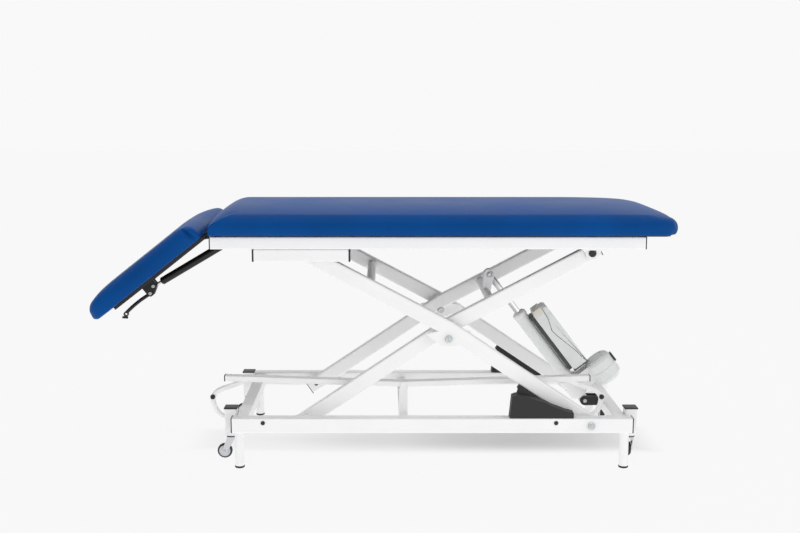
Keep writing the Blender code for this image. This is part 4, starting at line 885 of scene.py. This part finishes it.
class COUCH_OT_plugs_and_heads(bpy.types.Operator):
    """Adds hole plugs, hexagon heads and the heads of the actuator's rear pin"""
    bl_idname = "couch.plugs_and_heads"
    bl_label = "Plugs and bolt heads"

    # Distances of the rail plugs from the rail's left and right end, and their height above its middle
    PLUG_LEFT, PLUG_RIGHT, PLUG_RAISE = 0.102, 0.251, 0.010
    # The outside of the cheeks that hold the actuator's rear pin
    CHEEK = 0.0213
    # The knees of the pedal loops: distance from the loop's end, height, and the tube's radius
    KNEE_INSET, KNEE_LEVEL, KNEE_RADIUS = 0.009, 0.206, 0.0085

    def execute(self, context):
        trim = context.scene.couch_trim
        pin = JOINTS["actuator_tilt"]["pos_m"]
        for side, way in SIDES.items():
            low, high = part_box(f"base_rail_{side}")
            face = low.y if way < 0 else high.y
            level = (low.z + high.z) / 2 + self.PLUG_RAISE
            for end, x in (("left", low.x + self.PLUG_LEFT), ("right", high.x - self.PLUG_RIGHT)):
                make_plug(f"rail_plug_{side}_{end}", (x, face, level), (0, way, 0), radius=trim.plug / 2,
                          height=0.0025, look=BLACK, body="base")
            self.heads(side, way, trim.nut / 2, "base_pivot_bolt", "lift", "base")
            self.heads(side, way, trim.nut / 2, "centre_bolt", "scissor", "outer_arms")
        for side, way in SIDES.items():
            make_plug(f"actuator_pin_{side}", (pin[0], way * self.CHEEK, pin[2]), (0, way, 0), radius=0.0065,
                      height=0.0042, look=ZINC, body="base")
        low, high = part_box("foot_bar")
        near = (low.y + high.y) / 2 - self.KNEE_RADIUS
        for end, x in (("left", low.x + self.KNEE_INSET), ("right", high.x - self.KNEE_INSET)):
            make_plug(f"knee_plug_{end}", (x, near, self.KNEE_LEVEL), (0, -1, 0), radius=self.KNEE_RADIUS,
                      height=0.004, look=BLACK, body="foot_bar")
        return {"FINISHED"}

    @staticmethod
    def heads(side, way, radius, bolt, joint, body):
        """A hexagon on each end of a pivot bolt."""
        low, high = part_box(f"{bolt}_{side}")
        x, _, z = JOINTS[joint]["pos_m"]
        outer, inner = (low.y, high.y) if way < 0 else (high.y, low.y)
        for tag, y, out in (("head", outer, way), ("nut", inner, -way)):
            make_plug(f"{bolt}_{tag}_{side}", (x, y, z), (0, out, 0), radius, 0.005, ZINC, body, **HEXAGON)


class COUCH_OT_arm_strips(bpy.types.Operator):
    """Lays a rubber strip below each outer arm"""
    bl_idname = "couch.arm_strips"
    bl_label = "Arm strips"

    # Places along the arm from its middle, and the strip's section below it
    STARTS, END = {"near": 0.303, "far": 0.279}, 0.480
    HALF_WIDTH, TOP = 0.014, -0.0255

    def execute(self, context):
        thick = context.scene.couch_trim.strip
        for side, way in SIDES.items():
            y = ARM_Y["outer_arms"] * way
            low = (self.STARTS[side], y - self.HALF_WIDTH, self.TOP - thick)
            strip = start_block(f"arm_strip_{side}", low, (self.END, y + self.HALF_WIDTH, self.TOP))
            step_face(strip, -UP, border=0.004, step=-0.002)
            soften(strip, 0.002)
            strip.data.transform(arm_place(ARM_APEX, Vector(JOINTS["lift"]["pos_m"])))
            fit_out(strip, ("soft_rubber", "black_plastic"), "outer_arms")
        return {"FINISHED"}


class COUCH_OT_guard_walls(bpy.types.Operator):
    """Adds the tall inner wall of each guard, beside the outer arm"""
    bl_idname = "couch.guard_walls"
    bl_label = "Guard walls"

    # Places along the guard, and heights above the rail
    OUTLINE = ((0.011, 0.0), (0.017, 0.050), (0.0328, 0.1020), (0.037, 0.0995), (0.073, 0.0750),
               (0.1065, 0.0510), (0.150, 0.0217), (0.171, 0.0))
    SUNK, THICK = 0.0005, 0.0062

    def execute(self, context):
        for side, way in SIDES.items():
            low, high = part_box(f"guard_{side}")
            inner = high.y if way < 0 else low.y
            points = [(low.x + x, inner + way * self.SUNK, low.z + z) for x, z in self.OUTLINE]
            wall = start_outline(f"guard_wall_{side}", points, (0, -way * self.THICK, 0))
            fit_out(soften(wall, 0.0012), ("guard_moulding", "black_plastic"), "base")
        return {"FINISHED"}


class COUCH_OT_drive_trim(bpy.types.Operator):
    """Adds the control box's lid, end cap and a dark grey block of painted shade in the gap below it, and the
    actuator's collar, clip and screws
    """
    bl_idname = "couch.drive_trim"
    bl_label = "Drive trim"

    # Places on the drive are given out from the actuator's axis, across it and along it.
    # The lid's edge on the control box's face, out and along, and where its outer edge lies
    LID = ((0.0925, 0.1245), (0.0925, 0.360), (0.0890, 0.366), (0.0760, 0.366), (0.0715, 0.322),
           (0.0575, 0.281), (0.0615, 0.253), (0.0820, 0.174), (0.0890, 0.1245))
    LID_OUTSIDE, JOINT_SHOWS = 0.0891, 0.0022
    LID_SEAT, JOINT_SEAT = 0.0375, 0.0372
    # The motor's axis, and the circle of its screws
    MOTOR_OUT, SCREW_CIRCLE = 0.120, 0.036
    # The centre of the rod's eye from the corner of the rod's box
    EYE = 0.016

    def execute(self, context):
        pivot = Vector(JOINTS["actuator_tilt"]["pos_m"])
        along = Vector(JOINTS["actuator_stroke"]["axis"])
        out = Vector((along.z, 0, -along.x))
        self.frame = Matrix.Translation(pivot) @ Matrix((out, (0, 1, 0), along)).transposed().to_4x4()
        for tag, way in SIDES.items():
            self.box_face(tag, way)
        self.box_ends()
        self.actuator_and_motor()
        self.rod_pin()
        return {"FINISHED"}

    def place(self, piece, edge, look, segments=2, **step):
        """Steps a face if one is given, rounds the edges and lays the piece along the actuator."""
        if step:
            step_face(piece, **step)
        soften(piece, edge, segments)
        piece.data.transform(self.frame)
        fit_out(piece, look, "actuator")

    def box_face(self, tag, way):
        """A lid with its joint and screws on one face of the control box."""
        out = (0, way, 0)
        points = [(n, way * self.LID_SEAT, s) for n, s in self.LID]
        lid = start_outline(f"box_lid_{tag}", points, (0, way * 0.0026, 0))
        self.place(lid, 0.0007, HOUSING, direction=out, border=0.003, step=0.0006)
        points = [(n - (self.JOINT_SHOWS if n < self.LID_OUTSIDE else 0), way * self.JOINT_SEAT, s)
                  for n, s in self.LID]
        self.place(start_outline(f"box_joint_{tag}", points, (0, way * 0.0010, 0)), 0.0003, SEAL_AND_SHADE, 1)
        for s in (0.14, 0.335):
            screw = start_round(f"box_screw_{tag}_{round(s * 1000)}", (0.086, way * 0.0405, s), out,
                                radius=0.0032, depth=0.002, corners=20)
            self.place(screw, 0.0003, ZINC, direction=out, border=0.0012, step=-0.0010)

    def box_ends(self):
        """A dark grey block below the control box that paints the shade in the gap between box and tube, the
        socket cap at its upper end, and the lip at its lower end.
        """
        # Painted shade: a dark grey block fills the gap between the control box and the tube, where that gap
        # lies in shadow
        gap_shade = start_block("box_gap_shade", (0.0215, -0.031, 0.126), (0.0349, 0.031, 0.362))
        self.place(gap_shade, 0.003, SEAL_AND_SHADE, 3)
        cap = start_block("box_end_cap", (0.0390, -0.0382, 0.349), (0.0740, 0.0382, 0.3745))
        crosswise = lambda edge: abs(edge.verts[0].co.y - edge.verts[1].co.y) > 0.05
        round_edges(cap, lambda edge: crosswise(edge) and edge.verts[0].co.z > 0.36, 0.005, 4)
        self.place(cap, 0.0010, ("socket_cream", "grey_plastic"), direction=UP, border=0.006, step=-0.003)
        lip = start_block("box_lower_lip", (0.0345, -0.0380, 0.1135), (0.0935, 0.0380, 0.1175))
        self.place(lip, 0.0012, SEAL_AND_SHADE)

    def actuator_and_motor(self):
        collar = start_round("tube_collar", (0, 0, 0.386), UP, radius=0.0250, depth=0.014, corners=36)
        self.place(collar, 0.0016, HOUSING, 3, direction=UP, border=0.007, step=0.006)
        motor = self.MOTOR_OUT
        band = start_round("motor_band", (motor, 0, 0.052), UP, radius=0.0512, depth=0.010, corners=40)
        self.place(band, 0.0012, HOUSING)
        plate = start_round("motor_end_plate", (motor, 0, 0.0975), UP, radius=0.041, depth=0.005, corners=40)
        self.place(plate, 0.0010, HOUSING, direction=UP, border=0.008, step=-0.002)
        clip = start_block("motor_clip", (0.1665, -0.014, 0.050), (0.1765, 0.014, 0.082))
        self.place(clip, 0.0015, BLACK, direction=(1, 0, 0), border=0.005, step=-0.005)
        for i in range(4):
            angle = math.radians(45 + 90 * i)
            turn = self.SCREW_CIRCLE * Vector((math.cos(angle), math.sin(angle), 0))
            centre = Vector((motor, 0, 0.0995)) + turn
            screw = start_round(f"motor_screw_{i}", centre, UP, radius=0.0035, depth=0.003, corners=20)
            self.place(screw, 0.0004, ZINC, direction=UP, border=0.0014, step=-0.0012)

    def rod_pin(self):
        """The spring clip and washers on the pin at the rod's eye."""
        low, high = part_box("actuator_rod")
        eye = Vector((low.x + self.EYE, 0, high.z - self.EYE))
        for tag, way in SIDES.items():
            washer = start_ring(f"rod_washer_{tag}", eye + Vector((0, way * 0.0195, 0)), (0, 1, 0),
                                radius=0.0085, thick=0.0036)
            fit_out(washer, ZINC, "inner_arms")
        clip = start_ring("rod_pin_clip", eye + Vector((0.006, -0.0235, 0.002)), (0, 1, 0), radius=0.0085,
                          thick=0.0028)
        fit_out(clip, ("bright_steel", "steel"), "inner_arms")


class COUCH_OT_head_trim(bpy.types.Operator):
    """Adds the bolts of the gas spring and release lever, and the lever's tail"""
    bl_idname = "couch.head_trim"
    bl_label = "Head trim"

    # Places with the head section level: from its hinge, out to each side, and from the lever's pivot
    SPRING_BOLT, BOLT_SEAT = Vector((-0.313, 0, -0.014)), 0.0133
    TAIL, TAIL_AXIS = Vector((-0.129, 0, -0.010)), (0.75, 0, -0.66)

    def execute(self, context):
        lever = Matrix.Rotation(-HEAD_TILT, 4, "Y") @ (Vector(JOINTS["release"]["pos_m"]) - HEAD_HINGE)
        spots = {"spring_bolt": self.SPRING_BOLT, "lever_bolt": Vector((lever.x, 0, lever.z))}
        for name, spot in spots.items():
            for tag, way in SIDES.items():
                centre = HEAD_HINGE + spot + Vector((0, way * self.BOLT_SEAT, 0))
                bolt = make_plug(f"{name}_{tag}", centre, (0, way, 0), radius=0.0068, height=0.005, look=ZINC,
                                 body="head_section", **HEXAGON)
                turn_with_head(bolt)
        tail = start_round("lever_tail", HEAD_HINGE + lever + self.TAIL, self.TAIL_AXIS, radius=0.0042,
                           depth=0.020, corners=16)
        turn_with_head(soften(tail, 0.0014))
        fit_out(tail, BLACK, "release_lever")
        return {"FINISHED"}


class COUCH_OT_welds(bpy.types.Operator):
    """Lays weld beads where the frame's tubes meet"""
    bl_idname = "couch.welds"
    bl_label = "Weld beads"

    TUBE_RADIUS, BEAD_RADIUS = 0.015, 0.0152
    # An end beam's width, and how far the castor posts lap over it
    BEAM_WIDTH, POST_LAP = 0.040, 0.0017

    def execute(self, context):
        bead = context.scene.couch_trim.bead
        for corner in CORNERS:
            low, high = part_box(f"leg_{corner}")
            centre = ((low.x + high.x) / 2, (low.y + high.y) / 2, high.z)
            ring = start_ring(f"leg_weld_{corner}", centre, UP, (high.x - low.x) / 2, bead)
            fit_out(ring, WHITE, "base")
        low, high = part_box("outer_cross_tube")
        self.tube_rings("outer_cross", (low + high) / 2, low, high, bead, "outer_arms")
        low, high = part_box("inner_cross_tube")
        centre = Vector((low.x + self.TUBE_RADIUS, 0, low.z + self.TUBE_RADIUS))
        self.tube_rings("inner_cross", centre, low, high, bead, "inner_arms")
        self.beam_beads(bead)
        return {"FINISHED"}

    def tube_rings(self, name, centre, low, high, bead, body):
        for tag, y in (("near", low.y), ("far", high.y)):
            place = (centre.x, y, centre.z)
            fit_out(start_ring(f"{name}_weld_{tag}", place, (0, 1, 0), self.BEAD_RADIUS, bead), WHITE, body)

    def beam_beads(self, bead):
        """Upright beads in the corners between the end beams and the rails."""
        low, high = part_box("base_rail_near")
        for end, way in ENDS.items():
            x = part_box(f"castor_post_near_{end}")[way < 0].x + way * (self.POST_LAP - self.BEAM_WIDTH)
            for side, y in (("near", high.y), ("far", -high.y)):
                bar = start_round(f"beam_weld_{end}_{side}", (x, y, (low.z + high.z) / 2), UP, bead / 2,
                                  depth=0.038, corners=14)
                fit_out(soften(bar, 0.001), WHITE, "base")


class COUCH_OT_castor_trim(bpy.types.Operator):
    """Adds the nuts on the castor axles and the rims of the swivel races"""
    bl_idname = "couch.castor_trim"
    bl_label = "Castor trim"

    NUT_SEAT = 0.0131

    def execute(self, context):
        for corner in CORNERS:
            fork = f"castor_fork_{corner}"
            joint = JOINTS[f"castor_spin_{corner}"]
            centre, axle = Vector(joint["pos_m"]), Vector(joint["axis"]).normalized()
            for tag, way in (("a", -1), ("b", 1)):
                make_plug(f"axle_nut_{corner}_{tag}", centre + axle * way * self.NUT_SEAT, axle * way,
                          radius=0.0058, height=0.0045, look=("zinc_plate", "steel"), body=fork, **HEXAGON)
            swivel = JOINTS[f"castor_swivel_{corner}"]["pos_m"]
            ring = start_ring(f"swivel_ring_{corner}", swivel, UP, radius=0.0168, thick=0.0036)
            fit_out(ring, ("black_moulding", "steel"), fork)
        return {"FINISHED"}


class COUCH_OT_stage(bpy.types.Operator):
    """Sets up the floor, the lamps and the camera"""
    bl_idname = "couch.stage"
    bl_label = "Studio"

    # Each lamp's place, aim, size and power
    LAMPS = {"overhead": ((0.0, -0.3, 3.4), (0, 0, 0.6), (4.5, 3.5), 30),
             "front_right": ((3.2, -3.0, 1.7), (0, 0, 0.5), (2.6, 2.2), 14),
             "low_fill": ((1.0, -3.3, 0.45), (0, 0.3, 0.5), (4.5, 0.8), 5)}
    FLOOR_SIZE, FLOOR_MIDDLE = 40.0, (0, 2.0, 0)

    def execute(self, context):
        studio = context.scene.couch_studio
        self.floor()
        self.world(context.scene, studio.light)
        for name, (place, aim, size, power) in self.LAMPS.items():
            self.lamp(name, place, aim, size, power * studio.light)
        deselect()
        bpy.ops.object.camera_add(location=studio.eye, rotation=(math.pi / 2 - studio.pitch, 0, 0))
        camera = bpy.context.active_object
        camera.name = "photo_camera"
        camera.data.lens = studio.lens
        camera.data.sensor_width = 36.0
        camera.data.shift_x = studio.shift
        context.scene.camera = camera
        context.scene.view_settings.view_transform = "Standard"
        return {"FINISHED"}

    def floor(self):
        floor_finish()
        deselect()
        bpy.ops.mesh.primitive_plane_add(size=self.FLOOR_SIZE, location=self.FLOOR_MIDDLE)
        floor = take_new("studio_floor")
        dress(floor, "studio_floor")

    @staticmethod
    def world(scene, strength):
        """A white surround: the backdrop as it is seen, and a weaker light on dull surfaces."""
        scene.world = bpy.data.worlds.new("studio_world")
        nodes = Nodes(scene.world)
        background = nodes.tree.nodes["Background"].inputs
        nodes.feed(background["Color"], (1.0, 1.0, 1.0, 1.0))
        sockets = {"Value": nodes.looked_at(), "To Min": SURROUND_LIGHT * strength, "To Max": BACKDROP}
        nodes.feed(background["Strength"], nodes.node("ShaderNodeMapRange", None, sockets))

    @staticmethod
    def lamp(name, place, aim, size, power):
        deselect()
        bpy.ops.object.light_add(type="AREA", location=place)
        lamp = bpy.context.active_object
        lamp.name = name
        lamp.data.shape = "RECTANGLE"
        lamp.data.size, lamp.data.size_y = size
        lamp.data.energy = power
        lamp.rotation_euler = (Vector(aim) - Vector(place)).to_track_quat("-Z", "Y").to_euler()


class COUCH_PT_panel(bpy.types.Panel):
    """Lists the couch's steps in the sidebar"""
    bl_idname = "COUCH_PT_panel"
    bl_label = "Therapy couch"
    bl_space_type = "VIEW_3D"
    bl_region_type = "UI"
    bl_category = "Couch"

    def draw(self, context):
        for operator in STEPS:
            self.layout.operator(operator.bl_idname)


STEPS = (COUCH_OT_finishes, COUCH_OT_frame_paint, COUCH_OT_main_cushion, COUCH_OT_head_cushion,
         COUCH_OT_end_caps, COUCH_OT_plugs_and_heads, COUCH_OT_arm_strips, COUCH_OT_guard_walls,
         COUCH_OT_drive_trim, COUCH_OT_head_trim, COUCH_OT_welds, COUCH_OT_castor_trim, COUCH_OT_stage)
CLASSES = (*PROPERTIES.values(), *STEPS, COUCH_PT_panel)


def register():
    for item in CLASSES:
        bpy.utils.register_class(item)
    for name, group in PROPERTIES.items():
        setattr(bpy.types.Scene, name, bpy.props.PointerProperty(type=group))


def unregister():
    for name in PROPERTIES:
        delattr(bpy.types.Scene, name)
    for item in reversed(CLASSES):
        bpy.utils.unregister_class(item)


def main():
    register()
    for operator in STEPS:
        family, step = operator.bl_idname.split(".")
        getattr(getattr(bpy.ops, family), step)()
    deselect()


if __name__ == "__main__":
    main()
